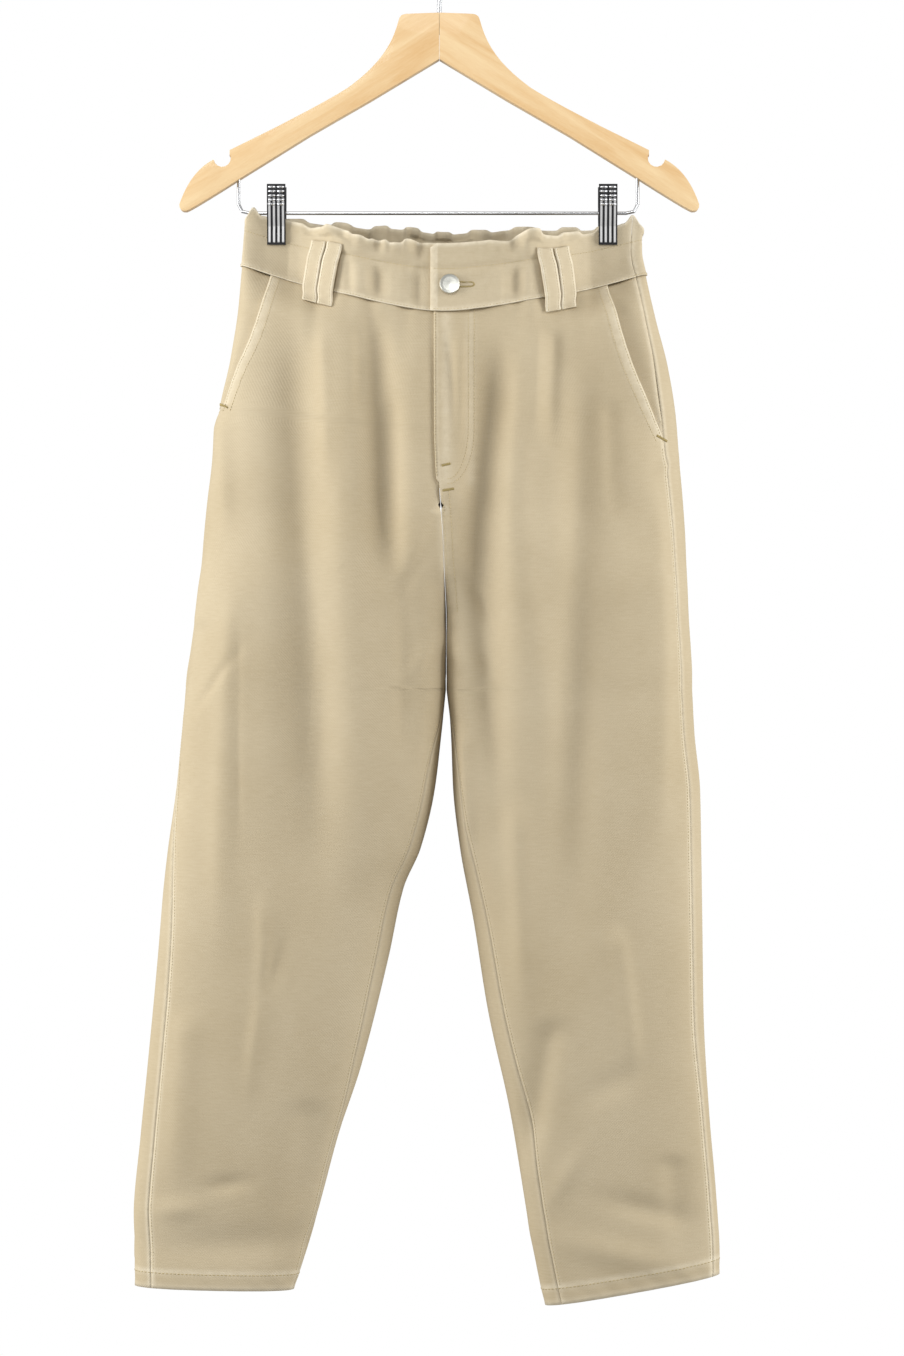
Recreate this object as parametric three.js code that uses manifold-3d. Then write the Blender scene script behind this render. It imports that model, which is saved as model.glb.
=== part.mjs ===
// Paperbag-waist jeans clipped to a wooden trouser hanger.
// Millimetres. +X is the wearer's left, -Y the front of the garment and +Z up.
// The origin is the point of the hook that rests on the rail.
import * as THREE from "three";
import { mergeVertices } from "three/addons/utils/BufferGeometryUtils.js";
import Module from "manifold-3d";

const wasm = await Module();
wasm.setup();

// ---------------------------------------------------------------- driving sizes

const SEAM_GAP = 0.3; // between two pieces that are sewn together
const TWILL = 1.4; // wall of one layer of the trouser cloth
const HEM_WALL = 2.8; // the same cloth turned up
const HEM_HEIGHT = 14;
const BAND_WALL = 2.2; // two layers and the elastic between them
const BAND_PROUD = 0.8; // how far the waistband stands out from the panels

const FRILL_TOP = -250; // heights at the side seams
const FRILL_SEAM = -269;
const WAIST_SEAM = -300;
const CROTCH = -663;
const HEM = { left: -1169, right: -1179 };
const HEM_FALL = { left: -27, right: -3 }; // how much lower the hem hangs at the inseam

const FLY_BOTTOM = -488;
const FLY_LAP = 3.5; // how far the left front laps past the centre line
const FLY_UNDER = 8; // how far the right front runs on beneath it

const CLIP_X = { left: 146, right: 141 };
const BAR_Z = -250;
const BAR_RADIUS = 1.5;

const SIDE = { left: 1, right: -1 };

// ---------------------------------------------------------------- tables

// The hips, from the frill down to the crotch. outerLeft and outerRight are the half widths, middle the
// place of the centre seams, front and back the depths, and split how far the two legs have parted.
const HIPS = [
  { z: -240, outerLeft: 177, outerRight: 167, middle: -2, front: 40, back: 28, split: 0 },
  { z: -277, outerLeft: 175, outerRight: 169, middle: -2, front: 42, back: 32, split: 0 },
  { z: -300, outerLeft: 179, outerRight: 171, middle: -2, front: 46, back: 37, split: 0 },
  { z: -340, outerLeft: 188, outerRight: 175, middle: -2, front: 54, back: 45, split: 0 },
  { z: -380, outerLeft: 198, outerRight: 182, middle: -2, front: 59, back: 51, split: 0 },
  { z: -425, outerLeft: 205, outerRight: 191, middle: -2, front: 63, back: 56, split: 0 },
  { z: -465, outerLeft: 208, outerRight: 196, middle: -1, front: 65, back: 59, split: 0 },
  { z: -500, outerLeft: 211, outerRight: 201, middle: 1, front: 66, back: 61, split: 0 },
  { z: -530, outerLeft: 213, outerRight: 204, middle: 3, front: 66, back: 62, split: 0.25 },
  { z: -555, outerLeft: 214, outerRight: 206, middle: 4, front: 66, back: 62, split: 0.65 },
  { z: -575, outerLeft: 215, outerRight: 209, middle: 5, front: 66, back: 62, split: 0.88 },
  { z: -600, outerLeft: 216, outerRight: 212, middle: 6, front: 65, back: 62, split: 0.955 },
  { z: -630, outerLeft: 218, outerRight: 216, middle: 6, front: 64, back: 61, split: 0.982 },
  { z: -650, outerLeft: 219, outerRight: 219, middle: 6, front: 63, back: 60, split: 0.995 },
  { z: CROTCH, outerLeft: 219, outerRight: 220, middle: 6, front: 62, back: 60, split: 1 },
];

// Each leg, from the crotch to the hem: its outer and inner edges from x = 0, and its depths.
const LEG = {
  left: [
    { z: CROTCH, outer: 219, inner: 6, front: 62, back: 60 },
    { z: -700, outer: 221, inner: 10, front: 60, back: 58 },
    { z: -750, outer: 226, inner: 12, front: 57, back: 55 },
    { z: -800, outer: 227, inner: 18, front: 53, back: 51 },
    { z: -865, outer: 228, inner: 30, front: 49, back: 46 },
    { z: -940, outer: 229, inner: 42, front: 44, back: 41 },
    { z: -1030, outer: 234, inner: 62, front: 36, back: 34 },
    { z: -1100, outer: 240, inner: 76, front: 29, back: 28 },
    { z: -1150, outer: 243, inner: 87, front: 25, back: 24 },
    { z: -1200, outer: 241, inner: 99, front: 22, back: 22 },
  ],
  right: [
    { z: CROTCH, outer: 220, inner: -6, front: 62, back: 60 },
    { z: -700, outer: 223, inner: -2, front: 60, back: 58 },
    { z: -750, outer: 228, inner: 4, front: 57, back: 55 },
    { z: -800, outer: 235, inner: 16, front: 53, back: 51 },
    { z: -835, outer: 239, inner: 31, front: 51, back: 48 },
    { z: -895, outer: 244, inner: 44, front: 47, back: 44 },
    { z: -990, outer: 253, inner: 68, front: 40, back: 37 },
    { z: -1050, outer: 259, inner: 88, front: 34, back: 32 },
    { z: -1120, outer: 265, inner: 107, front: 27, back: 26 },
    { z: -1180, outer: 264, inner: 126, front: 23, back: 22 },
  ],
};

// How far each seam lies in front of the folded edge of the tube; below 0 it is behind the edge.
const SEAM_SHIFT = {
  left: [
    { z: -240, outseam: 9, inseam: 0 },
    { z: -300, outseam: 9, inseam: 0 },
    { z: -420, outseam: 14, inseam: 0 },
    { z: CROTCH, outseam: 12, inseam: 0 },
    { z: -770, outseam: 11, inseam: 9 },
    { z: -950, outseam: 10, inseam: 14 },
    { z: -1040, outseam: 7, inseam: 15 },
    { z: -1200, outseam: 7, inseam: 14 },
  ],
  right: [
    { z: -240, outseam: -3, inseam: 0 },
    { z: -300, outseam: -3, inseam: 0 },
    { z: CROTCH, outseam: -2, inseam: 0 },
    { z: -745, outseam: 1, inseam: 9 },
    { z: -870, outseam: 12, inseam: 11 },
    { z: -980, outseam: 14, inseam: 8 },
    { z: -1040, outseam: 14, inseam: 3 },
    { z: -1200, outseam: 16, inseam: 1 },
  ],
};

// The pocket mouths: the edge of the front panel, measured out from x = 0.
const POCKET_MOUTH = {
  left: [
    { z: -300, x: 143 },
    { z: -346, x: 152 },
    { z: -385, x: 164 },
    { z: -420, x: 179 },
    { z: -452, x: 195 },
  ],
  right: [
    { z: -296, x: 144 },
    { z: -326, x: 151 },
    { z: -357, x: 161 },
    { z: -387, x: 174 },
    { z: -428, x: 190 },
  ],
};

// The large soft folds of the panels. Each runs from (x0, z0) through the bend (x1, z1) to (x2, z2);
// depth is positive for a ridge and negative for a trough, and width is its half width.
const FOLDS = [
  { face: "front", x0: -127, z0: -310, x1: -116, z1: -555, x2: -104, z2: -930, width: 24, depth: -9 },
  { face: "front", x0: -88, z0: -320, x1: -77, z1: -590, x2: -62, z2: -860, width: 20, depth: 4 },
  { face: "front", x0: -56, z0: -330, x1: -51, z1: -440, x2: -46, z2: -590, width: 13, depth: -7 },
  { face: "front", x0: -22, z0: -350, x1: -18, z1: -485, x2: -28, z2: -640, width: 15, depth: 4 },
  { face: "front", x0: 53, z0: -345, x1: 35, z1: -555, x2: 50, z2: -830, width: 17, depth: -10 },
  { face: "front", x0: 70, z0: -320, x1: 64, z1: -500, x2: 88, z2: -740, width: 17, depth: 5 },
  { face: "front", x0: 125, z0: -345, x1: 120, z1: -590, x2: 106, z2: -960, width: 21, depth: -8 },
  { face: "front", x0: 174, z0: -430, x1: 183, z1: -630, x2: 172, z2: -880, width: 18, depth: 3 },
  { face: "back", x0: -118, z0: -310, x1: -112, z1: -520, x2: -122, z2: -840, width: 22, depth: -8 },
  { face: "back", x0: -70, z0: -310, x1: -64, z1: -450, x2: -58, z2: -620, width: 16, depth: -6 },
  { face: "back", x0: -32, z0: -320, x1: -34, z1: -470, x2: -44, z2: -650, width: 17, depth: 4 },
  { face: "back", x0: 44, z0: -310, x1: 40, z1: -430, x2: 46, z2: -600, width: 15, depth: -6 },
  { face: "back", x0: 98, z0: -310, x1: 104, z1: -560, x2: 112, z2: -900, width: 24, depth: -8 },
  { face: "back", x0: 148, z0: -330, x1: 158, z1: -520, x2: 160, z2: -760, width: 18, depth: 4 },
];

// The pleats that the elastic makes. frill and band are their depths above and below its upper
// stitching, and drop is how far the top edge falls there.
const PLEATS = [
  { face: "front", x: -112, width: 7, frill: -3.5, band: -1.6, drop: 0 },
  { face: "front", x: -96, width: 9, frill: 3.0, band: 0, drop: -2 },
  { face: "front", x: -81, width: 6, frill: -3.0, band: -2.6, drop: 2 },
  { face: "front", x: -67, width: 7, frill: 3.5, band: 2.4, drop: 0 },
  { face: "front", x: -53, width: 6, frill: -4.0, band: -3.0, drop: 4 },
  { face: "front", x: -36, width: 8, frill: 2.4, band: 1.6, drop: 1 },
  { face: "front", x: -19, width: 6, frill: -3.4, band: -1.8, drop: 0 },
  { face: "front", x: 50, width: 7, frill: 1.6, band: 1.6, drop: 0 },
  { face: "front", x: 66, width: 6, frill: -3.2, band: -3.0, drop: 1 },
  { face: "front", x: 78, width: 7, frill: 3.6, band: 1.4, drop: -2 },
  { face: "front", x: 112, width: 7, frill: -3.4, band: -1.2, drop: 1 },
  { face: "front", x: 124, width: 8, frill: 2.6, band: 1.2, drop: 0 },
  { face: "back", x: -112, width: 8, frill: 3.6, band: 2.0, drop: -1 },
  { face: "back", x: -94, width: 7, frill: -3.6, band: -2.6, drop: 1 },
  { face: "back", x: -75, width: 8, frill: 3.4, band: 2.4, drop: 0 },
  { face: "back", x: -58, width: 7, frill: -3.8, band: -2.6, drop: 2 },
  { face: "back", x: -40, width: 8, frill: 3.2, band: 2.0, drop: -1 },
  { face: "back", x: -22, width: 7, frill: -3.4, band: -1.6, drop: 1 },
  { face: "back", x: 4, width: 7, frill: -3.6, band: 0, drop: 3 },
  { face: "back", x: 22, width: 8, frill: 3.2, band: 1.8, drop: 0 },
  { face: "back", x: 40, width: 7, frill: -4.0, band: -2.6, drop: 2 },
  { face: "back", x: 58, width: 8, frill: 3.4, band: 2.4, drop: -1 },
  { face: "back", x: 76, width: 7, frill: -3.6, band: -2.6, drop: 1 },
  { face: "back", x: 94, width: 8, frill: 3.4, band: 2.2, drop: 0 },
  { face: "back", x: 111, width: 7, frill: -3.0, band: -2.0, drop: 1 },
];

// The belt loops, in pairs: where the top and the foot of each lie, from the centre.
const LOOPS = [
  { name: "front_right_outer", face: "front", top: -102, foot: -111 },
  { name: "front_right_inner", face: "front", top: -88, foot: -97.5 },
  { name: "front_left_inner", face: "front", top: 89, foot: 97 },
  { name: "front_left_outer", face: "front", top: 103.5, foot: 110.5 },
  { name: "back_left", face: "back", top: 13, foot: 13 },
  { name: "back_right", face: "back", top: -9, foot: -9 },
];
const LOOP_WIDTH = 12.5;
const LOOP_WALL = 1.8;
const LOOP_STAND = 2.4; // room for the belt at mid height
const LOOP_TOP = -262;
const LOOP_FOOT = -314;
const FOOT_GAP = 0.8; // where a loop's foot crosses the soft top of a panel
const LOOP_CLEAR = 15; // the waistband lies smooth this far either side of a loop's middle

// ---------------------------------------------------------------- small maths

const lerp = (a, b, t) => a + (b - a) * t;
const clamp = (v, low, high) => Math.min(high, Math.max(low, v));
const hill = (t) => Math.exp(-t * t);

function ease(from, to, value) {
  const t = clamp((value - from) / (to - from), 0, 1);
  return t * t * (3 - 2 * t);
}

// A column of a table that falls in z, at height z, by a curve that never overshoots its rows.
function column(table, name, z) {
  const last = table.length - 1;
  if (z >= table[0].z) return table[0][name];
  if (z <= table[last].z) return table[last][name];
  let i = 0;
  while (table[i + 1].z > z) i += 1;
  const slope = (k) => (table[k + 1][name] - table[k][name]) / (table[k + 1].z - table[k].z);
  const tangent = (k) => {
    if (k === 0) return slope(0);
    if (k === last) return slope(last - 1);
    const [a, b] = [slope(k - 1), slope(k)];
    return a * b <= 0 ? 0 : (2 * a * b) / (a + b);
  };
  const span = table[i + 1].z - table[i].z;
  const t = (z - table[i].z) / span;
  const [t2, t3] = [t * t, t * t * t];
  return (
    (2 * t3 - 3 * t2 + 1) * table[i][name] +
    (t3 - 2 * t2 + t) * span * tangent(i) +
    (3 * t2 - 2 * t3) * table[i + 1][name] +
    (t3 - t2) * span * tangent(i + 1)
  );
}

// ---------------------------------------------------------------- the form of the garment

// The loop that one half of the garment makes at a level: its middle, half width and depths.
function loopAt(half, level) {
  if (level >= CROTCH) {
    const middle = SIDE[half] * column(HIPS, "middle", level);
    const outer = column(HIPS, half === "left" ? "outerLeft" : "outerRight", level);
    const split = column(HIPS, "split", level);
    const radius = (outer - middle) / (1 + split);
    return {
      middle,
      centre: middle + split * radius,
      radius,
      split,
      front: column(HIPS, "front", level),
      back: column(HIPS, "back", level),
    };
  }
  const outer = column(LEG[half], "outer", level);
  const inner = column(LEG[half], "inner", level);
  return {
    middle: inner,
    centre: (outer + inner) / 2,
    radius: (outer - inner) / 2,
    split: 1,
    front: column(LEG[half], "front", level),
    back: column(LEG[half], "back", level),
  };
}

const OUTER_POWER = 2.3; // how square the tube is at its outer edge
const innerPower = (level) => lerp(2.5, 4, ease(-860, -690, level));

// How strongly the clips press the front and back together at (x, level), from 0 to 1.
function pinch(x, level) {
  const away = Math.abs(Math.abs(x) - (x > 0 ? CLIP_X.left : CLIP_X.right));
  return (1 - ease(8, 70, away)) * ease(-335, -285, level);
}
const PRESSED = 1.5; // where the outer cloth lies under a clip, from y = 0

// How far the waist has sagged between the clips at x, and the slope of the bar.
function sag(x, level, face) {
  const width = x > 0 ? 179 : 171;
  const hang = 1 - Math.pow(clamp(Math.hypot(x, 20) / width, 0, 1), 1.35);
  const deepest = face === "front" ? lerp(42, 33, ease(WAIST_SEAM, FRILL_TOP, level)) : 11;
  const sides = 0.022 * x;
  return (deepest * hang + sides) * ease(-530, -300, level);
}

function foldsAt(x, z, face) {
  let moved = 0;
  for (const f of FOLDS) {
    if (f.face !== face || z > f.z0 || z < f.z2) continue;
    const t = (z - f.z0) / (f.z2 - f.z0);
    const bend = (f.z1 - f.z0) / (f.z2 - f.z0);
    const straight = lerp(f.x0, f.x2, t);
    const off = f.x1 - lerp(f.x0, f.x2, bend);
    const line = straight + off * (t < bend ? ease(0, bend, t) : 1 - ease(bend, 1, t));
    const fade = ease(0, 0.16, t) * (1 - ease(0.6, 1, t));
    moved += f.depth * hill((x - line) / f.width) * fade;
  }
  return moved;
}

// 0 where the waistband lies smooth beneath a loop, rising to 1 away from it.
function clearOfLoops(x, face) {
  const middles = LOOPS.filter((l) => l.face === face).map((l) => (l.top + l.foot) / 2);
  return Math.min(...middles.map((m) => ease(LOOP_CLEAR, LOOP_CLEAR + 9, Math.abs(x - m))));
}

function pleatsAt(x, level, face) {
  let out = 0;
  for (const p of PLEATS) {
    if (p.face !== face) continue;
    const shape = hill((x - p.x) / p.width);
    const up = ease(FRILL_SEAM, FRILL_TOP, level);
    const down = 1 - ease(0, 14, Math.abs(level - (FRILL_SEAM + WAIST_SEAM) / 2) - 4);
    out += level > FRILL_SEAM ? p.frill * shape * up : p.band * shape * down;
  }
  const smooth = level < FRILL_SEAM + 12 ? clearOfLoops(x, face) : 1;
  return out * smooth * (1 - pinch(x, Math.max(level, -280)));
}

// The top edge falls at the pleats, dips at the folded sides to pass under the bar, and stands up
// in an ear in front of each bar end.
function topEdge(x, y, face) {
  let drop = 0;
  for (const p of PLEATS) if (p.face === face) drop += p.drop * hill((x - p.x) / (p.width * 1.6));
  const beyond = Math.abs(x) - (x > 0 ? 155 : 148);
  const side = 8 * ease(2, 11, beyond);
  const ear = face === "front" ? 14 * hill((beyond - 12) / 6) * ease(-2.5, -5, y) : 0;
  const underBar = (face === "back" ? 6 : 2) * pinch(x, FRILL_TOP);
  return ear - drop - side - underBar;
}

// A point of the cloth's outer face. turn is 0 at the outer edge of the tube, runs to +PI round the
// front and to -PI round the back. level names the ring, by its height at the side.
function clothPoint(half, level, turn) {
  const loop = loopAt(half, level);
  const face = turn >= 0 ? "front" : "back";
  const power = Math.abs(turn) < Math.PI / 2 ? OUTER_POWER : innerPower(level);
  const across = Math.sign(Math.cos(turn)) * Math.pow(Math.abs(Math.cos(turn)), 2 / power);
  const deep = Math.pow(Math.abs(Math.sin(turn)), 2 / power);
  const x = SIDE[half] * (loop.centre + loop.radius * across);
  let depth = (face === "front" ? loop.front : loop.back) * deep;
  const held = pinch(x, level);
  depth = lerp(depth, Math.min(depth, PRESSED + BAND_WALL), held);
  const y = face === "front" ? -depth : depth;
  let z = level - sag(x, level, face);
  if (level > FRILL_SEAM) z += topEdge(x, y, face) * ease(FRILL_SEAM, FRILL_TOP, level);
  const across01 = clamp((loop.centre + loop.radius - Math.abs(x)) / (2 * loop.radius), 0, 1);
  z += HEM_FALL[half] * across01 * ease(-1000, HEM[half], level);
  return new THREE.Vector3(x, y, z);
}

function clothNormal(half, level, turn, lift) {
  const [dTurn, dLevel] = [0.004, 0.5];
  const at = (l, t) => lifted(half, l, t, lift);
  const along = at(level, turn + dTurn).sub(at(level, turn - dTurn));
  const down = at(level - dLevel, turn).sub(at(level + dLevel, turn));
  return along.cross(down).normalize().multiplyScalar(SIDE[half]);
}

// The same point moved out along the plain form by a lift, in mm.
function lifted(half, level, turn, lift) {
  const p = clothPoint(half, level, turn);
  const amount = lift(p.x, p.z, level, turn >= 0 ? "front" : "back");
  if (amount === 0) return p;
  const d = 0.004;
  const along = clothPoint(half, level, turn + d).sub(clothPoint(half, level, turn - d));
  const out = new THREE.Vector3(-along.y, along.x, 0).normalize().multiplyScalar(SIDE[half]);
  return p.addScaledVector(out, amount);
}

const panelLift = (x, z, level, face) => foldsAt(x, z, face) * (1 - pinch(x, level));
const bandLift = (x, z, level, face) => BAND_PROUD + pleatsAt(x, level, face);

// The turn at which a half's ring reaches the distance x from x = 0, on the front or the back.
function turnAt(half, level, x, face) {
  const loop = loopAt(half, level);
  const share = clamp((x - loop.centre) / loop.radius, -1, 1);
  const power = share > 0 ? OUTER_POWER : innerPower(level);
  const turn = Math.acos(Math.sign(share) * Math.pow(Math.abs(share), power / 2));
  return face === "front" ? turn : -turn;
}

function outseamTurn(half, level) {
  const loop = loopAt(half, level);
  const shift = column(SEAM_SHIFT[half], "outseam", level);
  const edge = loop.centre + loop.radius;
  return turnAt(half, level, edge - Math.abs(shift), shift >= 0 ? "front" : "back");
}

// The turn at the centre seam above the crotch, and at the inseam below it.
function innerTurn(half, level, face) {
  const loop = loopAt(half, level);
  if (level > CROTCH) return turnAt(half, level, loop.middle, face);
  const shift = column(SEAM_SHIFT[half], "inseam", level);
  const inseam = turnAt(half, level, loop.centre - loop.radius + shift, "front");
  return face === "front" ? inseam : inseam - 2 * Math.PI;
}

// Turns spaced evenly along the cloth from one turn to another, kept a gap short of both ends.
function spacedTurns(half, level, from, to, count, gapFrom, gapTo = gapFrom) {
  const steps = 240;
  const turns = Array.from({ length: steps + 1 }, (_, i) => lerp(from, to, i / steps));
  const points = turns.map((t) => clothPoint(half, level, wrapped(t)));
  const along = [0];
  for (let i = 1; i <= steps; i += 1) along.push(along[i - 1] + points[i].distanceTo(points[i - 1]));
  const total = along[steps];
  return Array.from({ length: count }, (_, k) => {
    const goal = lerp(gapFrom / 2, total - gapTo / 2, k / (count - 1));
    let i = 0;
    while (i < steps - 1 && along[i + 1] < goal) i += 1;
    return lerp(turns[i], turns[i + 1], (goal - along[i]) / Math.max(along[i + 1] - along[i], 1e-9));
  });
}
const wrapped = (turn) => (turn < -Math.PI ? turn + 2 * Math.PI : turn);

// ---------------------------------------------------------------- solids

// A closed wall between two grids of points with the same rows and columns.
function wall(outer, inner, flip) {
  const [rows, cols] = [outer.length, outer[0].length];
  const positions = [...outer.flat(), ...inner.flat()].flatMap((p) => [p.x, p.y, p.z]);
  const at = (layer, r, c) => layer * rows * cols + r * cols + c;
  const index = [];
  const quad = (a, b, c, d) => {
    if (flip) index.push(a, c, b, a, d, c);
    else index.push(a, b, c, a, c, d);
  };
  for (let r = 0; r < rows - 1; r += 1)
    for (let c = 0; c < cols - 1; c += 1) {
      quad(at(0, r, c), at(0, r, c + 1), at(0, r + 1, c + 1), at(0, r + 1, c));
      quad(at(1, r, c), at(1, r + 1, c), at(1, r + 1, c + 1), at(1, r, c + 1));
    }
  for (let r = 0; r < rows - 1; r += 1) {
    quad(at(0, r, 0), at(0, r + 1, 0), at(1, r + 1, 0), at(1, r, 0));
    quad(at(0, r + 1, cols - 1), at(0, r, cols - 1), at(1, r, cols - 1), at(1, r + 1, cols - 1));
  }
  for (let c = 0; c < cols - 1; c += 1) {
    quad(at(0, 0, c + 1), at(0, 0, c), at(1, 0, c), at(1, 0, c + 1));
    quad(at(0, rows - 1, c), at(0, rows - 1, c + 1), at(1, rows - 1, c + 1), at(1, rows - 1, c));
  }
  const geometry = new THREE.BufferGeometry();
  geometry.setAttribute("position", new THREE.Float32BufferAttribute(positions, 3));
  geometry.setIndex(index);
  return geometry;
}

// A piece of the garment cut out between two turns on each level. from, to and thickness may each
// depend on the level; lift is how far its outer face stands from the plain form.
function panel({ half, face, levels, count, from, to, lift, thickness, gap = SEAM_GAP, keep }) {
  const outer = [];
  const inner = [];
  for (const level of levels) {
    const turns = spacedTurns(half, level, from(level), to(level), count, gap).map(wrapped);
    const outerRow = [];
    const innerRow = [];
    for (const turn of turns) {
      const p = lifted(half, level, turn, lift);
      const q = lifted(half, level, turn, (...at) => lift(...at) - thickness(level));
      if (keep) [p, q].forEach((v) => keep(v, level));
      outerRow.push(p);
      innerRow.push(q);
    }
    outer.push(outerRow);
    inner.push(innerRow);
  }
  const flip = (SIDE[half] > 0) !== (face === "front");
  return wall(outer, inner, flip);
}

// Keeps a half's points on its own side of the centre seam, down to the crotch.
function onOwnSide(half, room) {
  return (p, level) => {
    if (level < CROTCH) return;
    const edge = loopAt(half, level).middle + room(level);
    if (SIDE[half] * p.x < edge) p.x = SIDE[half] * edge;
  };
}

function toSolid(geometry) {
  const bare = geometry.index ? geometry.toNonIndexed() : geometry.clone();
  const clean = new THREE.BufferGeometry().setAttribute("position", bare.getAttribute("position"));
  const merged = mergeVertices(clean, 1e-4);
  return new wasm.Manifold(
    new wasm.Mesh({
      numProp: 3,
      vertProperties: merged.attributes.position.array,
      triVerts: new Uint32Array(merged.index.array),
    }),
  );
}

function toGeometry(solid) {
  const mesh = solid.getMesh();
  return new THREE.BufferGeometry()
    .setAttribute("position", new THREE.BufferAttribute(mesh.vertProperties, 3))
    .setIndex(new THREE.BufferAttribute(mesh.triVerts, 1));
}

const cutFrom = (geometry, ...tools) =>
  toGeometry(tools.reduce((solid, tool) => solid.subtract(toSolid(tool)), toSolid(geometry)));
const joined = (first, ...rest) =>
  toGeometry(rest.reduce((solid, other) => solid.add(toSolid(other)), toSolid(first)));

// ---------------------------------------------------------------- legs

const PANEL_COLUMNS = 13;

function legLevels(half) {
  const hip = [WAIST_SEAM - SEAM_GAP, -320, -345, -370, -395, -420, -445, -470, FLY_BOTTOM, -515, -545];
  const crotch = [-575, -600, -628, -650, CROTCH];
  const leg = [-685, -715, -755, -800, -850, -905, -965, -1030, -1095];
  const hem = [HEM[half] + HEM_HEIGHT + 1, HEM[half] + HEM_HEIGHT, HEM[half]];
  return [...hip, ...crotch, ...leg, ...hem];
}

const clothWall = (half) => (level) =>
  level <= HEM[half] + HEM_HEIGHT + 0.5 ? HEM_WALL : TWILL;

const MOUTH_END = 16; // the mouth runs into the side seam this far above its lowest point

// The outer edge of a front panel: the pocket mouth at the top, the outseam below it.
function frontEdgeTurn(half, level) {
  const mouth = POCKET_MOUTH[half];
  const bottom = mouth[mouth.length - 1];
  const seam = outseamTurn(half, level);
  if (level < bottom.z + MOUTH_END) return seam;
  const z = level - sag(SIDE[half] * column(mouth, "x", level), level, "front");
  return Math.max(seam, turnAt(half, level, column(mouth, "x", z), "front"));
}

// Above the foot of the fly the left front runs past the centre and the right front runs under it.
function flyEdge(half, level) {
  const open = ease(FLY_BOTTOM - 4, FLY_BOTTOM + 10, level);
  return half === "left" ? lerp(0, -FLY_LAP, open) : lerp(0, -FLY_UNDER, open);
}

// The left front rides over the right one along the fly.
function flyLift(x, z, level) {
  const centre = column(HIPS, "middle", level);
  const along = ease(FLY_BOTTOM - 26, FLY_BOTTOM - 5, level);
  return (TWILL + 0.5) * along * (1 - ease(FLY_UNDER + 3, FLY_UNDER + 22, x - centre));
}

function frontPanel(half) {
  const reach = (level) => {
    const extra = flyEdge(half, level);
    if (level <= CROTCH || extra === 0) return innerTurn(half, level, "front");
    return turnAt(half, level, loopAt(half, level).middle + extra, "front");
  };
  const lift =
    half === "left"
      ? (x, z, level, face) => panelLift(x, z, level, face) + flyLift(x, z, level)
      : panelLift;
  return panel({
    half,
    face: "front",
    levels: legLevels(half),
    count: PANEL_COLUMNS,
    from: (level) => frontEdgeTurn(half, level),
    to: reach,
    lift,
    thickness: clothWall(half),
    keep: onOwnSide(half, (level) => flyEdge(half, level) + SEAM_GAP / 2),
  });
}

function backPanel(half) {
  return panel({
    half,
    face: "back",
    levels: legLevels(half),
    count: PANEL_COLUMNS,
    from: (level) => outseamTurn(half, level),
    to: (level) => innerTurn(half, level, "back"),
    lift: panelLift,
    thickness: clothWall(half),
    keep: onOwnSide(half, () => SEAM_GAP / 2),
  });
}

// The hip piece that shows behind a pocket mouth. It starts flush with the side seam and slips under
// the front panel, and it falls back a little from the mouth, which gapes most on the left.
const FACING_UNDER = TWILL + 1.8;
const FACING_DIVE = 11; // its foot lies this much deeper, behind the end of the mouth
const FACING_INSET = 12; // and this far in from the side seam
const FACING_TUCK = 26;
const GAPE = { left: 5, right: 3 };

function pocketFacing(half) {
  const mouth = POCKET_MOUTH[half];
  const foot = mouth[mouth.length - 1].z;
  const levels = legLevels(half).filter((level) => level > foot);
  const mouthX = (level) => {
    const z = level - sag(SIDE[half] * column(mouth, "x", level), level, "front");
    return column(mouth, "x", z);
  };
  const seamX = (level) => Math.abs(clothPoint(half, level, outseamTurn(half, level)).x);
  const covered = (level) => level < foot + MOUTH_END;
  const lift = (x, z, level, face) => {
    const [edge, seam] = [mouthX(level), seamX(level)];
    const slope = covered(level) ? 1 : ease(0, Math.max(seam - edge - 4, 1), seam - Math.abs(x));
    const gape = GAPE[half] * hill((Math.abs(x) - edge) / 14) * ease(foot + 10, -370, level);
    const dive = covered(level) ? FACING_DIVE : gape * ease(WAIST_SEAM, -335, level);
    return panelLift(x, z, level, face) - FACING_UNDER * slope - dive;
  };
  return panel({
    half,
    face: "front",
    levels,
    count: 9,
    from: (level) =>
      covered(level) ? turnAt(half, level, seamX(level) - FACING_INSET, "front") : outseamTurn(half, level),
    to: (level) => turnAt(half, level, mouthX(level) - FACING_TUCK, "front"),
    lift,
    thickness: () => TWILL,
  });
}

// ---------------------------------------------------------------- waistband

const BAND_LEVELS = [
  FRILL_TOP,
  -258,
  FRILL_SEAM,
  FRILL_SEAM - 4,
  -285,
  WAIST_SEAM + 4,
  WAIST_SEAM,
];
const TAB_LAP = 6; // the buttoned end runs this far past the centre
const UNDERLAP = 28; // the other end runs this far beneath it
const TAB_LIFT = BAND_WALL + 0.5;

const tabLift = (x, z, level, face) =>
  bandLift(x, z, level, face) +
  (face === "front" ? TAB_LIFT * (1 - ease(UNDERLAP + 2, UNDERLAP + 26, x)) : 0);

function bandHalf(half, face, count, beyond, lift) {
  return panel({
    half,
    face,
    levels: BAND_LEVELS,
    count,
    from: (level) => outseamTurn(half, level),
    to: (level) =>
      beyond === 0
        ? innerTurn(half, level, face)
        : turnAt(half, level, loopAt(half, level).middle - beyond, "front"),
    lift,
    thickness: () => BAND_WALL,
  });
}

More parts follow.
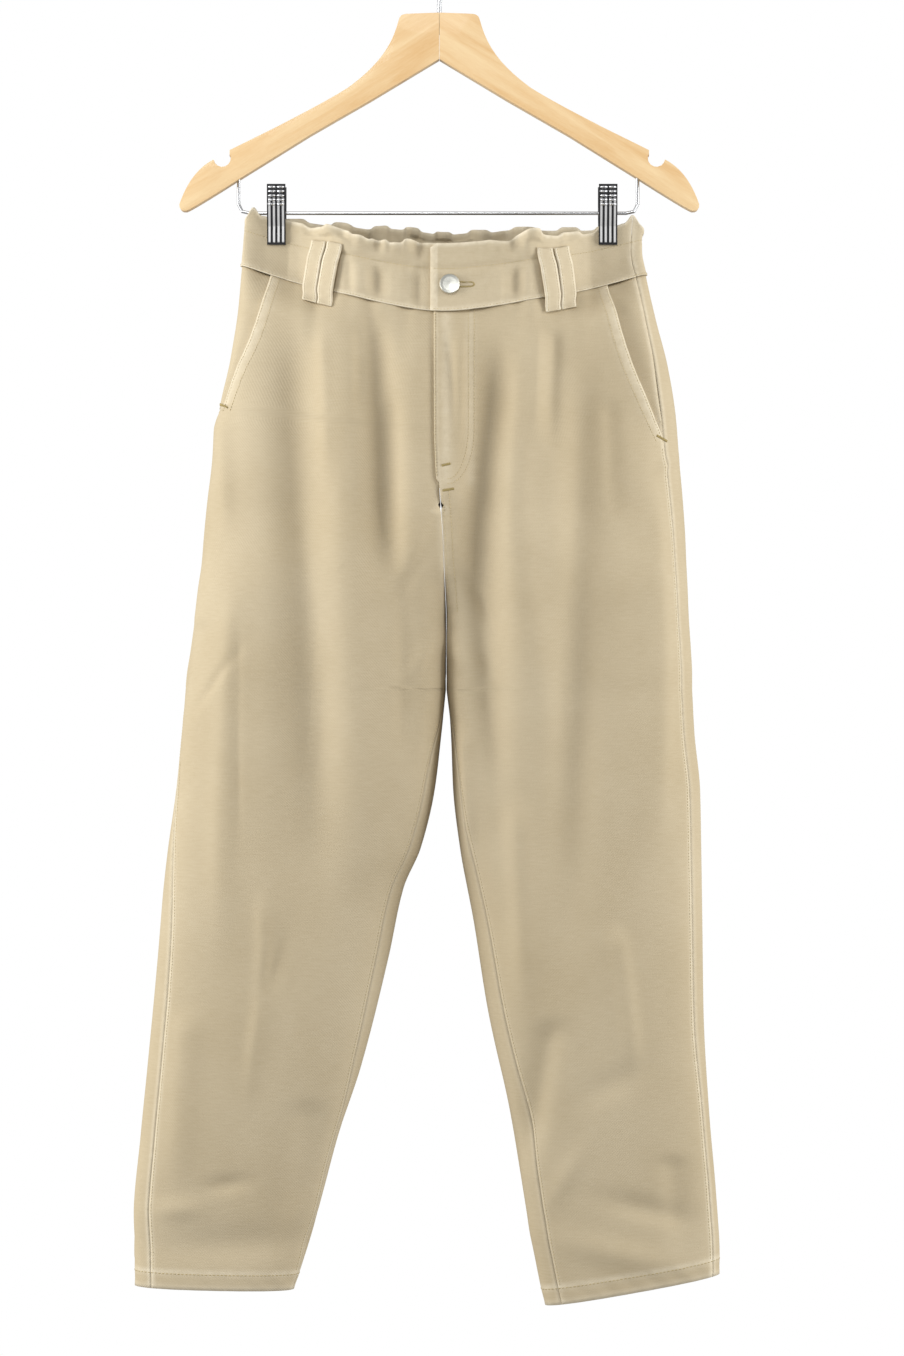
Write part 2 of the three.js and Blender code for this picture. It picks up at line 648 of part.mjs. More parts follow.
function backBand() {
  // The two halves share the centre, so the piece is one grid from seam to seam.
  const strips = ["right", "left"].map((half) => {
    const [seam, centre] = [(l) => outseamTurn(half, l), (l) => innerTurn(half, l, "back")];
    return BAND_LEVELS.map((level) =>
      spacedTurns(half, level, seam(level), centre(level), 24, SEAM_GAP, 0).map((turn) => {
        const q = lifted(half, level, turn, (...at) => bandLift(...at) - BAND_WALL);
        return { p: lifted(half, level, turn, bandLift), q };
      }),
    );
  });
  const rows = strips[0].map((row, i) => [...row, ...strips[1][i].slice(0, -1).reverse()]);
  return wall(
    rows.map((row) => row.map((v) => v.p)),
    rows.map((row) => row.map((v) => v.q)),
    false,
  );
}

// ---------------------------------------------------------------- button and buttonhole

const BUTTON_X = 9;
const BUTTON_LEVEL = -280;
const BUTTON_RADIUS = 8.6;
const BUTTONHOLE_LENGTH = 20;
const SHANK_RADIUS = 2;

// Where the button stands on the tab, and which way it faces.
function buttonPlace() {
  const turn = turnAt("left", BUTTON_LEVEL, BUTTON_X, "front");
  const point = lifted("left", BUTTON_LEVEL, turn, tabLift);
  return { point, normal: clothNormal("left", BUTTON_LEVEL, turn, tabLift) };
}

function facing(geometry, { point, normal }) {
  const turned = new THREE.Quaternion().setFromUnitVectors(new THREE.Vector3(0, 0, 1), normal);
  return geometry.applyQuaternion(turned).translate(point.x, point.y, point.z);
}

function button() {
  const [face, cap] = [3.6, 1.2]; // height of the rim above the cloth, and of the domed cap
  const profile = [
    [0, 0.3 - TAB_LIFT],
    [SHANK_RADIUS, 0.3 - TAB_LIFT],
    [SHANK_RADIUS, 0.6],
    [BUTTON_RADIUS - 1.6, 1.0],
    [BUTTON_RADIUS, 2.0],
    [BUTTON_RADIUS, face - 0.7],
    [BUTTON_RADIUS - 0.6, face],
    [BUTTON_RADIUS * 0.7, face - cap * 0.3],
    [0, face - cap * 0.55],
  ].map(([r, h]) => new THREE.Vector2(r, h));
  const lathe = new THREE.LatheGeometry(profile, 36).rotateX(Math.PI / 2);
  return facing(lathe, buttonPlace());
}

function buttonholeTools() {
  const place = buttonPlace();
  const eye = new THREE.CylinderGeometry(SHANK_RADIUS + 0.4, SHANK_RADIUS + 0.4, 5, 20);
  eye.rotateX(Math.PI / 2).translate(0, 0, -1);
  const slit = new THREE.BoxGeometry(BUTTONHOLE_LENGTH, 1.2, 9);
  slit.translate(BUTTONHOLE_LENGTH / 2, 0, -1);
  const upright = new THREE.Matrix4().makeBasis(
    new THREE.Vector3(0, 0, 1).cross(place.normal).normalize(),
    place.normal.clone().cross(new THREE.Vector3(0, 0, 1).cross(place.normal).normalize()),
    place.normal,
  );
  return [eye, slit].map((g) =>
    g.applyMatrix4(upright).translate(place.point.x, place.point.y, place.point.z),
  );
}

// ---------------------------------------------------------------- belt loops

function beltLoop({ face, top, foot }) {
  const half = (top + foot) / 2 > 0 ? "left" : "right";
  const steps = 9;
  const height = (k) => lerp(LOOP_TOP, LOOP_FOOT, k / steps);
  const middleX = (level) => lerp(top, foot, (LOOP_TOP - level) / (LOOP_TOP - LOOP_FOOT));
  const stand = (level) => {
    const t = (LOOP_TOP - level) / (LOOP_TOP - LOOP_FOOT);
    return ease(0.06, 0.3, t) * (1 - ease(0.7, 0.94, t));
  };
  const lift = (x, z, level) => {
    const onBand = ease(WAIST_SEAM - 9, WAIST_SEAM - 1, level);
    const under = lerp(panelLift(x, z, level, face), BAND_PROUD, onBand);
    return under + lerp(FOOT_GAP, SEAM_GAP, onBand) + LOOP_WALL + LOOP_STAND * stand(level);
  };
  const turnTo = (level, x) => {
    const own = SIDE[half] * x;
    return turnAt(half, level, own, face);
  };
  const reach = LOOP_WIDTH / 2;
  const inFirst = SIDE[half] > 0;
  return panel({
    half,
    face,
    levels: Array.from({ length: steps + 1 }, (_, k) => height(k)),
    count: 3,
    gap: 0,
    from: (level) => turnTo(level, middleX(level) + (inFirst ? reach : -reach)),
    to: (level) => turnTo(level, middleX(level) - (inFirst ? reach : -reach)),
    lift,
    thickness: () => LOOP_WALL,
  });
}

// ---------------------------------------------------------------- hanger

const HANGER_THICK = 12;
const HANGER_TOP = -77;
const HOOK_WIRE = 2; // radius
const HOOK_RADIUS = 21;
const BAR_END = { left: 172, right: -174 };
const BAR_SOCKET = -206; // how high the bar's ends reach into the arms

// The outline of one arm, from the centre joint out to its tip, in x and z.
function armShape() {
  const s = new THREE.Shape();
  s.moveTo(SEAM_GAP / 2, HANGER_TOP);
  s.lineTo(28, HANGER_TOP - 1);
  s.quadraticCurveTo(33, HANGER_TOP - 1.5, 35, -83);
  s.bezierCurveTo(41, -106, 52, -122, 79, -142);
  s.bezierCurveTo(100, -155, 120, -165, 141, -176);
  s.lineTo(181.5, -196);
  s.lineTo(181.5, -201);
  s.absarc(188, -203, 7.5, Math.PI * 0.85, Math.PI * 1.95, false);
  s.bezierCurveTo(211, -212, 220, -228, 225, -243);
  s.quadraticCurveTo(225.5, -249, 219, -248.5);
  s.quadraticCurveTo(214, -247, 170, -219);
  s.lineTo(112, -183);
  s.lineTo(59, -152.5);
  s.lineTo(SEAM_GAP / 2, -117);
  s.closePath();
  return s;
}

function hangerArm(half) {
  const shape = armShape();
  const geometry = new THREE.ExtrudeGeometry(shape, {
    depth: HANGER_THICK,
    bevelEnabled: false,
    curveSegments: 8,
  });
  geometry.translate(0, 0, -HANGER_THICK / 2).rotateX(Math.PI / 2);
  const stemHole = new THREE.CylinderGeometry(HOOK_WIRE + 0.3, HOOK_WIRE + 0.3, 44, 16);
  stemHole.rotateX(Math.PI / 2).translate(0, 0, HANGER_TOP);
  const socket = new THREE.CylinderGeometry(BAR_RADIUS + 0.3, BAR_RADIUS + 0.3, 40, 12);
  socket.rotateX(Math.PI / 2).translate(Math.abs(BAR_END[half]), 0, BAR_SOCKET - 20);
  const arm = cutFrom(geometry, stemHole, socket);
  return half === "left" ? arm : arm.rotateZ(Math.PI);
}

function wire(points, radius, steps, sides) {
  const path = new THREE.CurvePath();
  points.forEach((curve) => path.add(curve));
  const circle = new THREE.Shape();
  circle.absarc(0, 0, radius, 0, 2 * Math.PI, false);
  return new THREE.ExtrudeGeometry(circle, {
    extrudePath: path,
    steps,
    curveSegments: sides,
    bevelEnabled: false,
  });
}

function hook() {
  const centre = -HOOK_RADIUS; // the wire's inner line touches the rail at z = 0
  const bend = HOOK_RADIUS + HOOK_WIRE;
  const [foot, neck] = [HANGER_TOP - 18, HANGER_TOP + 6].map((z) => new THREE.Vector3(0, 0, z));
  const points = [neck, new THREE.Vector3(0.6, 0, neck.z + 7)];
  const from = -Math.PI * 0.32;
  for (let k = 0; k <= 11; k += 1) {
    const a = from + (k / 11) * Math.PI * 1.36;
    points.push(new THREE.Vector3(bend * Math.cos(a), 0, centre + bend * Math.sin(a)));
  }
  const bent = new THREE.CatmullRomCurve3(points, false, "centripetal");
  return wire([new THREE.LineCurve3(foot, neck), bent], HOOK_WIRE, 48, 10);
}

function clipBar() {
  const bend = 9;
  const line = (a, b) => new THREE.LineCurve3(a, b);
  const at = (x, z) => new THREE.Vector3(x, 0, z);
  const corner = (a, b, c) => new THREE.QuadraticBezierCurve3(a, b, c);
  const [l, r] = [BAR_END.left, BAR_END.right];
  return wire(
    [
      line(at(r, BAR_SOCKET - 1), at(r, BAR_Z + bend)),
      corner(at(r, BAR_Z + bend), at(r, BAR_Z), at(r + bend, BAR_Z)),
      line(at(r + bend, BAR_Z), at(l - bend, BAR_Z)),
      corner(at(l - bend, BAR_Z), at(l, BAR_Z), at(l, BAR_Z + bend)),
      line(at(l, BAR_Z + bend), at(l, BAR_SOCKET - 1)),
    ],
    BAR_RADIUS,
    60,
    10,
  );
}

// ---------------------------------------------------------------- clips

const CLIP_WIDTH = 16;
const CLIP_WALL = 1.6;
const CLIP_TOP = 24; // above the bar
const CLIP_TIP = -28; // below it
const CLIP_RIBS = 4;
const JAW = PRESSED + BAND_WALL + BAND_PROUD + SEAM_GAP; // the jaw's inner face, from y = 0

// One plate of a clip: a bent strip that leans out over the bar and grips the cloth at its foot.
function clipPlate(x, front) {
  const line = [
    [9.6, CLIP_TOP],
    [9.0, 6],
    [7.6, -4],
    [JAW + 0.9, -12],
    [JAW, -18],
    [JAW, CLIP_TIP],
  ];
  const shape = new THREE.Shape();
  line.forEach(([y, z], i) => (i ? shape.lineTo(y, z) : shape.moveTo(y, z)));
  [...line].reverse().forEach(([y, z]) => shape.lineTo(y + CLIP_WALL, z));
  shape.closePath();
  const plate = new THREE.ExtrudeGeometry(shape, { depth: CLIP_WIDTH, bevelEnabled: false });
  plate.translate(0, 0, -CLIP_WIDTH / 2);
  const ribs = [];
  for (let k = 0; k < CLIP_RIBS; k += 1) {
    const rib = new THREE.BoxGeometry(0.9, 26, 2.4);
    rib.translate(JAW + CLIP_WALL + 0.4, -12.5, (k - (CLIP_RIBS - 1) / 2) * 3.9);
    ribs.push(rib);
  }
  const lug = new THREE.BoxGeometry(5, 7, 2); // the ear that rests on the spring
  lug.translate(6.6, 0, 0);
  const whole = joined(plate, lug, ...ribs);
  // The profile's x is the distance from the cloth and its y the height; the extrusion runs along X.
  const basis = new THREE.Matrix4().makeBasis(
    new THREE.Vector3(0, front ? -1 : 1, 0),
    new THREE.Vector3(0, 0, 1),
    new THREE.Vector3(front ? -1 : 1, 0, 0),
  );
  return whole.applyMatrix4(basis).translate(x, 0, BAR_Z);
}

function clipSpring(x) {
  const [inside, outside, length] = [BAR_RADIUS + 0.3, 3.8, 11];
  const profile = [
    [inside, -length / 2],
    [outside, -length / 2],
    [outside, length / 2],
    [inside, length / 2],
    [inside, -length / 2],
  ].map(([r, h]) => new THREE.Vector2(r, h));
  return new THREE.LatheGeometry(profile, 20).rotateZ(Math.PI / 2).translate(x, 0, BAR_Z);
}

// ---------------------------------------------------------------- materials and assembly

const finish = (color, roughness, metalness) =>
  new THREE.MeshStandardMaterial({ color, roughness, metalness });
const cloth = finish(0xc4b28c, 0.92, 0);
const facingCloth = finish(0xbcab86, 0.92, 0);
const wood = finish(0xdfb982, 0.5, 0);
const steel = finish(0xb9babc, 0.25, 1);
const darkSteel = finish(0x6e7073, 0.3, 1);
const silver = finish(0xc8c9ca, 0.35, 1);

const jeans = new THREE.Group();

function add(name, geometry, material) {
  const mesh = new THREE.Mesh(geometry, material);
  mesh.name = name;
  jeans.add(mesh);
}

for (const half of ["left", "right"]) {
  add(`front_${half}`, frontPanel(half), cloth);
  add(`back_${half}`, backPanel(half), cloth);
  add(`pocket_facing_${half}`, pocketFacing(half), facingCloth);
  add(`hanger_arm_${half}`, hangerArm(half), wood);
  const x = SIDE[half] * CLIP_X[half];
  add(`clip_${half}_front`, clipPlate(x, true), darkSteel);
  add(`clip_${half}_back`, clipPlate(x, false), darkSteel);
  add(`clip_${half}_spring`, clipSpring(x), steel);
}
add(
  "waistband_left",
  cutFrom(bandHalf("left", "front", 25, TAB_LAP, tabLift), ...buttonholeTools()),
  cloth,
);
add("waistband_right", bandHalf("right", "front", 27, UNDERLAP, bandLift), cloth);
add("waistband_back", backBand(), cloth);
for (const loop of LOOPS) add(`belt_loop_${loop.name}`, beltLoop(loop), cloth);
add("button", button(), silver);
add("hook", hook(), steel);
add("clip_bar", clipBar(), steel);

export default jeans;
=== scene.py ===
"""Paperbag-waist jeans clipped to a wooden trouser hanger.

The form is worked out in millimetres, as a tailor would give it, and becomes metres when a mesh is made.
+X is the wearer's left, -Y the front of the garment and +Z up.
"""

import math
import random

import bmesh
import bpy
import numpy as np
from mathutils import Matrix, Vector


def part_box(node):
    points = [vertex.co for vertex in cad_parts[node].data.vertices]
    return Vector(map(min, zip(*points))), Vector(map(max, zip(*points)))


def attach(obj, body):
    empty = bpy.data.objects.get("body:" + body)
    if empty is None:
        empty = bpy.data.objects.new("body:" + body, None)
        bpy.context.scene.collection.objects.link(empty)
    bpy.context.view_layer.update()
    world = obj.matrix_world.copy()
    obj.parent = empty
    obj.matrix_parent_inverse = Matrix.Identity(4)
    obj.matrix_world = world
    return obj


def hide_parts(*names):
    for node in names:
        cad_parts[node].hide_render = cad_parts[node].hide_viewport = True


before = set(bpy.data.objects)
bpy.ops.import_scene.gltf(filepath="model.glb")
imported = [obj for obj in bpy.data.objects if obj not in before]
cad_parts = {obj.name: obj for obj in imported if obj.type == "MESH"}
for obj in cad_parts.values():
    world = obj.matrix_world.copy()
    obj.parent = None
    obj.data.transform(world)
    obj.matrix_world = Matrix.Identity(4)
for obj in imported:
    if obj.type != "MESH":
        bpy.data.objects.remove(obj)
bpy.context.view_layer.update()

MM = 0.001
rng = random.Random(7)

# ---------------------------------------------------------------- driving sizes, mm

SEAM_GAP = 0.3
TWILL = 1.2
HEM_WALL = 2.2
HEM_HEIGHT = 15
BAND_WALL = 1.8
BAND_PROUD = 0.8

FRILL_TOP = -250
FRILL_SEAM = -269
WAIST_SEAM = -300
CROTCH = -663
HEM = {"left": -1169, "right": -1179}
HEM_FALL = {"left": -27, "right": -3}

FLY_BOTTOM = -488
FLY_LAP = 3.5
FLY_UNDER = 8
TAB_LAP = 6
UNDERLAP = 28

CLIP_X = {"left": 146, "right": 141}
BAR_Z = -250
PRESSED = 1.5

SIDE = {"left": 1, "right": -1}
OUTER_POWER = 2.3

# ---------------------------------------------------------------- tables, mm

# Half widths, place of the centre seams, depths, and how far the legs have parted.
HIPS = dict(
    z=[-240, -277, -300, -340, -380, -425, -465, -500, -530, -555, -575, -600, -630, -650, CROTCH],
    outer_left=[177, 175, 179, 188, 198, 205, 208, 211, 213, 214, 215, 216, 218, 219, 219],
    outer_right=[167, 169, 171, 175, 182, 191, 196, 201, 204, 206, 209, 212, 216, 219, 220],
    middle=[-2, -2, -2, -2, -2, -2, -1, 1, 3, 4, 5, 6, 6, 6, 6],
    front=[40, 42, 46, 54, 59, 63, 65, 66, 66, 66, 66, 65, 64, 63, 62],
    back=[28, 32, 37, 45, 51, 56, 59, 61, 62, 62, 62, 62, 61, 60, 60],
    split=[0, 0, 0, 0, 0, 0, 0, 0, 0.25, 0.65, 0.88, 0.955, 0.982, 0.995, 1],
)
LEG = {
    "left": dict(
        z=[CROTCH, -700, -750, -800, -865, -940, -1030, -1100, -1150, -1200],
        outer=[219, 221, 226, 227, 228, 229, 234, 240, 243, 241],
        inner=[6, 10, 12, 18, 30, 42, 62, 76, 87, 99],
        front=[62, 60, 57, 53, 49, 44, 36, 29, 25, 22],
        back=[60, 58, 55, 51, 46, 41, 34, 28, 24, 22],
    ),
    "right": dict(
        z=[CROTCH, -700, -750, -800, -835, -895, -990, -1050, -1120, -1180],
        outer=[220, 223, 228, 235, 239, 244, 253, 259, 265, 264],
        inner=[-6, -2, 4, 16, 31, 44, 68, 88, 107, 126],
        front=[62, 60, 57, 53, 51, 47, 40, 34, 27, 23],
        back=[60, 58, 55, 51, 48, 44, 37, 32, 26, 22],
    ),
}
# How far each seam lies in front of the tube's folded edge.
SEAM_SHIFT = {
    "left": dict(
        z=[-240, -300, -420, CROTCH, -770, -950, -1040, -1200],
        outseam=[9, 9, 14, 12, 11, 10, 7, 7],
        inseam=[0, 0, 0, 0, 9, 14, 15, 14],
    ),
    "right": dict(
        z=[-240, -300, CROTCH, -745, -870, -980, -1040, -1200],
        outseam=[-3, -3, -2, 1, 12, 14, 14, 16],
        inseam=[0, 0, 0, 9, 11, 8, 3, 1],
    ),
}
POCKET_MOUTH = {
    "left": dict(z=[-300, -346, -385, -420, -452], x=[143, 152, 164, 179, 195]),
    "right": dict(z=[-296, -326, -357, -387, -428], x=[144, 151, 161, 174, 190]),
}
MOUTH_END = 4

# Soft folds: through (x0, z0), (x1, z1) and (x2, z2); depth is + for a ridge and - for a trough.
FOLD = ("face", "x0", "z0", "x1", "z1", "x2", "z2", "width", "depth")
FOLDS = [
    ("front", -127, -310, -116, -555, -104, -930, 24, -9),
    ("front", -88, -320, -77, -590, -62, -860, 20, 4),
    ("front", -56, -330, -51, -440, -46, -590, 13, -7),
    ("front", -22, -350, -18, -485, -28, -640, 15, 4),
    ("front", 53, -345, 35, -555, 50, -830, 17, -10),
    ("front", 70, -320, 64, -500, 88, -740, 17, 5),
    ("front", 125, -345, 120, -590, 106, -960, 21, -8),
    ("front", 174, -430, 183, -630, 172, -880, 18, 3),
    ("back", -118, -310, -112, -520, -122, -840, 22, -8),
    ("back", -70, -310, -64, -450, -58, -620, 16, -6),
    ("back", -32, -320, -34, -470, -44, -650, 17, 4),
    ("back", 44, -310, 40, -430, 46, -600, 15, -6),
    ("back", 98, -310, 104, -560, 112, -900, 24, -8),
    ("back", 148, -330, 158, -520, 160, -760, 18, 4),
]

# Smaller creases that only the shell carries.
CREASES = [
    ("front", -176, -560, -184, -740, -188, -920, 13, 2.6),
    ("front", -170, -590, -172, -700, -172, -830, 4, -1.0),
    ("front", -150, -830, -150, -900, -165, -1035, 7, 1.6),
    ("front", -30, -560, -29, -650, -31, -740, 9, -2.2),
    ("front", -42, -405, -42, -500, -38, -590, 9, -1.8),
    ("front", 19, -350, 16, -430, 13, -470, 5, 1.6),
    ("front", 5, -350, 12, -420, 10, -480, 5, -1.2),
    ("front", 148, -410, 150, -470, 151, -530, 8, -2.0),
    ("front", 20, -690, 24, -760, 28, -830, 5, 2.0),
    ("front", 66, -750, 72, -860, 76, -960, 12, 2.6),
    ("front", 97, -940, 84, -1010, 70, -1090, 13, -3.0),
    ("front", 150, -860, 160, -930, 168, -1010, 9, 2.0),
    ("front", 186, -480, 192, -640, 190, -820, 10, 1.8),
    ("front", 200, -1060, 204, -1110, 206, -1150, 12, -1.8),
    ("front", -215, -930, -222, -1010, -226, -1110, 14, 2.0),
    ("front", -110, -1010, -118, -1080, -140, -1140, 15, -2.0),
    ("front", -190, -420, -186, -470, -182, -540, 8, 2.0),
    ("front", -205, -600, -210, -640, -216, -690, 10, -1.6),
    ("front", 100, -350, 96, -410, 95, -470, 7, -1.8),
    ("front", 84, -345, 82, -400, 80, -460, 6, 1.4),
    ("front", -100, -350, -98, -420, -96, -500, 7, 1.6),
    ("front", -70, -345, -68, -390, -68, -440, 5, -1.4),
    ("back", -150, -340, -156, -520, -170, -700, 14, 2.6),
    ("back", -92, -330, -90, -420, -92, -520, 8, 2.0),
    ("back", 18, -330, 20, -400, 24, -480, 8, 2.0),
    ("back", 70, -330, 72, -420, 70, -540, 9, -2.2),
    ("back", 124, -340, 130, -430, 134, -560, 8, 2.0),
    ("back", 60, -700, 70, -820, 82, -960, 14, -2.6),
    ("back", -60, -700, -74, -820, -90, -960, 14, -2.6),
    ("back", 190, -900, 196, -1000, 206, -1110, 12, 2.0),
    ("back", -190, -900, -202, -1000, -216, -1110, 12, 2.0),
]

# Slanting or level creases: centre, length along the slope (degrees), half width and depth.
CREASE_SPOT = ("face", "x", "z", "length", "angle", "width", "depth")
SPOTS = [
    ("front", -190, -655, 60, 52, 4, -1.2),
    ("front", -182, -1088, 36, 8, 7, -1.5),
    ("front", -225, -1110, 40, 4, 9, 1.6),
    ("front", -170, -1140, 150, 3, 16, -2.2),
    ("front", 178, -1110, 70, -14, 10, -2.0),
    ("front", 160, -1150, 120, -12, 12, 1.8),
    ("front", 150, -1000, 60, 30, 12, -1.4),
    ("front", -20, -560, 50, 60, 6, -1.4),
    ("front", 34, -590, 56, -58, 6, -1.4),
    ("front", 24, -640, 50, -48, 7, 1.4),
    ("front", -18, -640, 46, 50, 7, 1.4),
    ("front", 195, -470, 20, 40, 4, 1.0),
    ("front", -142, -900, 60, 70, 8, -1.3),
    ("front", 110, -1080, 60, 60, 9, 1.3),
    ("back", -30, -690, 70, 40, 8, -2.0),
    ("back", 30, -690, 70, -40, 8, -2.0),
    ("back", -60, -730, 60, 35, 9, 1.6),
    ("back", 62, -735, 60, -35, 9, 1.6),
    ("back", 150, -920, 80, -20, 12, -2.0),
    ("back", -160, -930, 80, 20, 12, -2.0),
    ("back", -190, -1120, 120, 6, 14, -2.0),
    ("back", 170, -1120, 120, -6, 14, -2.0),
]

# The elastic's pleats: depth above and below its upper stitching, and the fall of the top edge.
PLEAT = ("face", "x", "width", "frill", "band", "drop")
PLEATS = [
    ("front", -112, 7, -3.5, -1.6, 0),
    ("front", -96, 9, 3.0, 0, -2),
    ("front", -81, 6, -3.0, -2.6, 2),
    ("front", -67, 7, 3.5, 2.4, 0),
    ("front", -53, 6, -4.0, -3.0, 4),
    ("front", -36, 8, 2.4, 1.6, 1),
    ("front", -19, 6, -3.4, -1.8, 0),
    ("front", 50, 7, 1.6, 1.6, 0),
    ("front", 66, 6, -3.2, -3.0, 1),
    ("front", 78, 7, 3.6, 1.4, -2),
    ("front", 112, 7, -3.4, -1.2, 1),
    ("front", 124, 8, 2.6, 1.2, 0),
    ("back", -112, 8, 3.6, 2.0, -1),
    ("back", -94, 7, -3.6, -2.6, 1),
    ("back", -75, 8, 3.4, 2.4, 0),
    ("back", -58, 7, -3.8, -2.6, 2),
    ("back", -40, 8, 3.2, 2.0, -1),
    ("back", -22, 7, -3.4, -1.6, 1),
    ("back", 4, 7, -3.6, 0, 3),
    ("back", 22, 8, 3.2, 1.8, 0),
    ("back", 40, 7, -4.0, -2.6, 2),
    ("back", 58, 8, 3.4, 2.4, -1),
    ("back", 76, 7, -3.6, -2.6, 1),
    ("back", 94, 8, 3.4, 2.2, 0),
    ("back", 111, 7, -3.0, -2.0, 1),
]

LOOP = ("name", "face", "top", "foot")
LOOPS = [
    ("front_right_outer", "front", -102, -111),
    ("front_right_inner", "front", -88, -97.5),
    ("front_left_inner", "front", 89, 97),
    ("front_left_outer", "front", 103.5, 110.5),
    ("back_left", "back", 13, 13),
    ("back_right", "back", -9, -9),
]
LOOP_WIDTH = 12.5
LOOP_WALL = 1.8
LOOP_STAND = 2.4
LOOP_TOP = -262
LOOP_FOOT = -314
LOOP_CLEAR = 15


def rows(names, table):
    return [dict(zip(names, row)) for row in table]


FOLDS, CREASES, SPOTS = rows(FOLD, FOLDS), rows(FOLD, CREASES), rows(CREASE_SPOT, SPOTS)
PLEATS, LOOPS = rows(PLEAT, PLEATS), rows(LOOP, LOOPS)

# ---------------------------------------------------------------- small maths


def ease(start, end, value):
    t = np.clip((value - start) / (end - start), 0, 1)
    return t * t * (3 - 2 * t)


def hill(t):
    return np.exp(-t * t)


def lerp(a, b, t):
    return a + (b - a) * t


def column(table, name, z):
    """A column of a table that falls in z, at heights z, by a curve that never overshoots its rows."""
    heights = -np.array(table["z"], float)
    values = np.array(table[name], float)
    at = np.clip(-np.asarray(z, float), heights[0], heights[-1])
    slopes = np.diff(values) / np.diff(heights)
    before, after = slopes[:-1], slopes[1:]
    same = before * after > 0
    inner = np.where(same, 2 * before * after / np.where(same, before + after, 1), 0)
    tangents = np.concatenate([slopes[:1], inner, slopes[-1:]])
    i = np.clip(np.searchsorted(heights, at, side="right") - 1, 0, len(heights) - 2)
    span = heights[i + 1] - heights[i]
    t = (at - heights[i]) / span
    return (
        (2 * t**3 - 3 * t**2 + 1) * values[i]
        + (t**3 - 2 * t**2 + t) * span * tangents[i]
        + (3 * t**2 - 2 * t**3) * values[i + 1]
        + (t**3 - t**2) * span * tangents[i + 1]
    )


# ---------------------------------------------------------------- the form of the garment


def loop_at(half, level):
    """Middle, centre, radius, front depth and back depth of one half's ring at each level."""
    level = np.asarray(level, float)
    middle_up = SIDE[half] * column(HIPS, "middle", level)
    outer_up = column(HIPS, "outer_" + half, level)
    split = column(HIPS, "split", level)
    radius_up = (outer_up - middle_up) / (1 + split)
    outer, inner = column(LEG[half], "outer", level), column(LEG[half], "inner", level)
    up = level >= CROTCH

    def depth(name):
        return np.where(up, column(HIPS, name, level), column(LEG[half], name, level))

    return (
        np.where(up, middle_up, inner),
        np.where(up, middle_up + split * radius_up, (outer + inner) / 2),
        np.where(up, radius_up, (outer - inner) / 2),
        depth("front"),
        depth("back"),
    )


def inner_power(level):
    return lerp(2.5, 4, ease(-860, -690, level))


def pinch(x, level):
    away = np.abs(np.abs(x) - np.where(x > 0, CLIP_X["left"], CLIP_X["right"]))
    return (1 - ease(8, 70, away)) * ease(-335, -285, level)


def sag(x, level, front):
    width = np.where(x > 0, 179, 171)
    hang = 1 - np.clip(np.hypot(x, 20) / width, 0, 1) ** 1.35
    deepest = np.where(front, lerp(42, 33, ease(WAIST_SEAM, FRILL_TOP, level)), 11)
    return (deepest * hang + 0.022 * x) * ease(-530, -300, level)


def folds_at(x, z, front, table):
    moved = np.zeros_like(x)
    for f in table:
        t = (z - f["z0"]) / (f["z2"] - f["z0"])
        bend = (f["z1"] - f["z0"]) / (f["z2"] - f["z0"])
        off = f["x1"] - lerp(f["x0"], f["x2"], bend)
        swing = np.where(t < bend, ease(0, bend, t), 1 - ease(bend, 1, t))
        line = lerp(f["x0"], f["x2"], t) + off * swing
        fade = ease(0, 0.16, t) * (1 - ease(0.6, 1, t))
        on = (t >= 0) & (t <= 1) & (front == (f["face"] == "front"))
        moved += np.where(on, f["depth"] * hill((x - line) / f["width"]) * fade, 0)
    return moved


def spots_at(x, z, front):
    moved = np.zeros_like(x)
    for s in SPOTS:
        a = math.radians(s["angle"])
        along = (x - s["x"]) * math.cos(a) + (z - s["z"]) * math.sin(a)
        across = (z - s["z"]) * math.cos(a) - (x - s["x"]) * math.sin(a)
        shape = hill(across / s["width"]) * hill(along / (s["length"] / 2))
        moved += np.where(front == (s["face"] == "front"), s["depth"] * shape, 0)
    return moved


def clear_of_loops(x, front):
    clear = np.ones_like(x)
    for loop in LOOPS:
        away = np.abs(x - (loop["top"] + loop["foot"]) / 2)
        here = front == (loop["face"] == "front")
        clear = np.where(here, np.minimum(clear, ease(LOOP_CLEAR - 5, LOOP_CLEAR + 6, away)), clear)
    return clear


def pleats_at(x, level, front):
    out = np.zeros_like(x)
    up = ease(FRILL_SEAM, FRILL_TOP, level)
    middle = (FRILL_SEAM + WAIST_SEAM) / 2
    down = 1 - ease(0, 14, np.abs(level - middle) - 4)
    for p in PLEATS:
        shape = hill((x - p["x"]) / p["width"])
        depth = np.where(level > FRILL_SEAM, 1.9 * p["frill"] * up, 1.5 * p["band"] * down)
        out += np.where(front == (p["face"] == "front"), depth * shape, 0)
    smooth = np.where(level < FRILL_SEAM + 12, clear_of_loops(x, front), 1)
    return out * smooth * (1 - pinch(x, np.maximum(level, -280)))


GATHERS = [  # size, phase and depth of the puffs that the elastic draws up
    (2.3, 0.4, 1.1),
    (3.9, 1.9, 1.7),
    (1.5, 3.1, 0.6),
]
FRILL_FLARE = 3.0
FRILL_FOLD = 2.2
EDGE_STEP = 2.0


def gathered(x, front):
    """1 where the elastic gathers the cloth, 0 on the placket and beyond the clips."""
    placket = np.where(front, ease(26, 40, np.abs(x - 14)), 1)
    return placket * (1 - ease(132, 150, np.abs(x)))


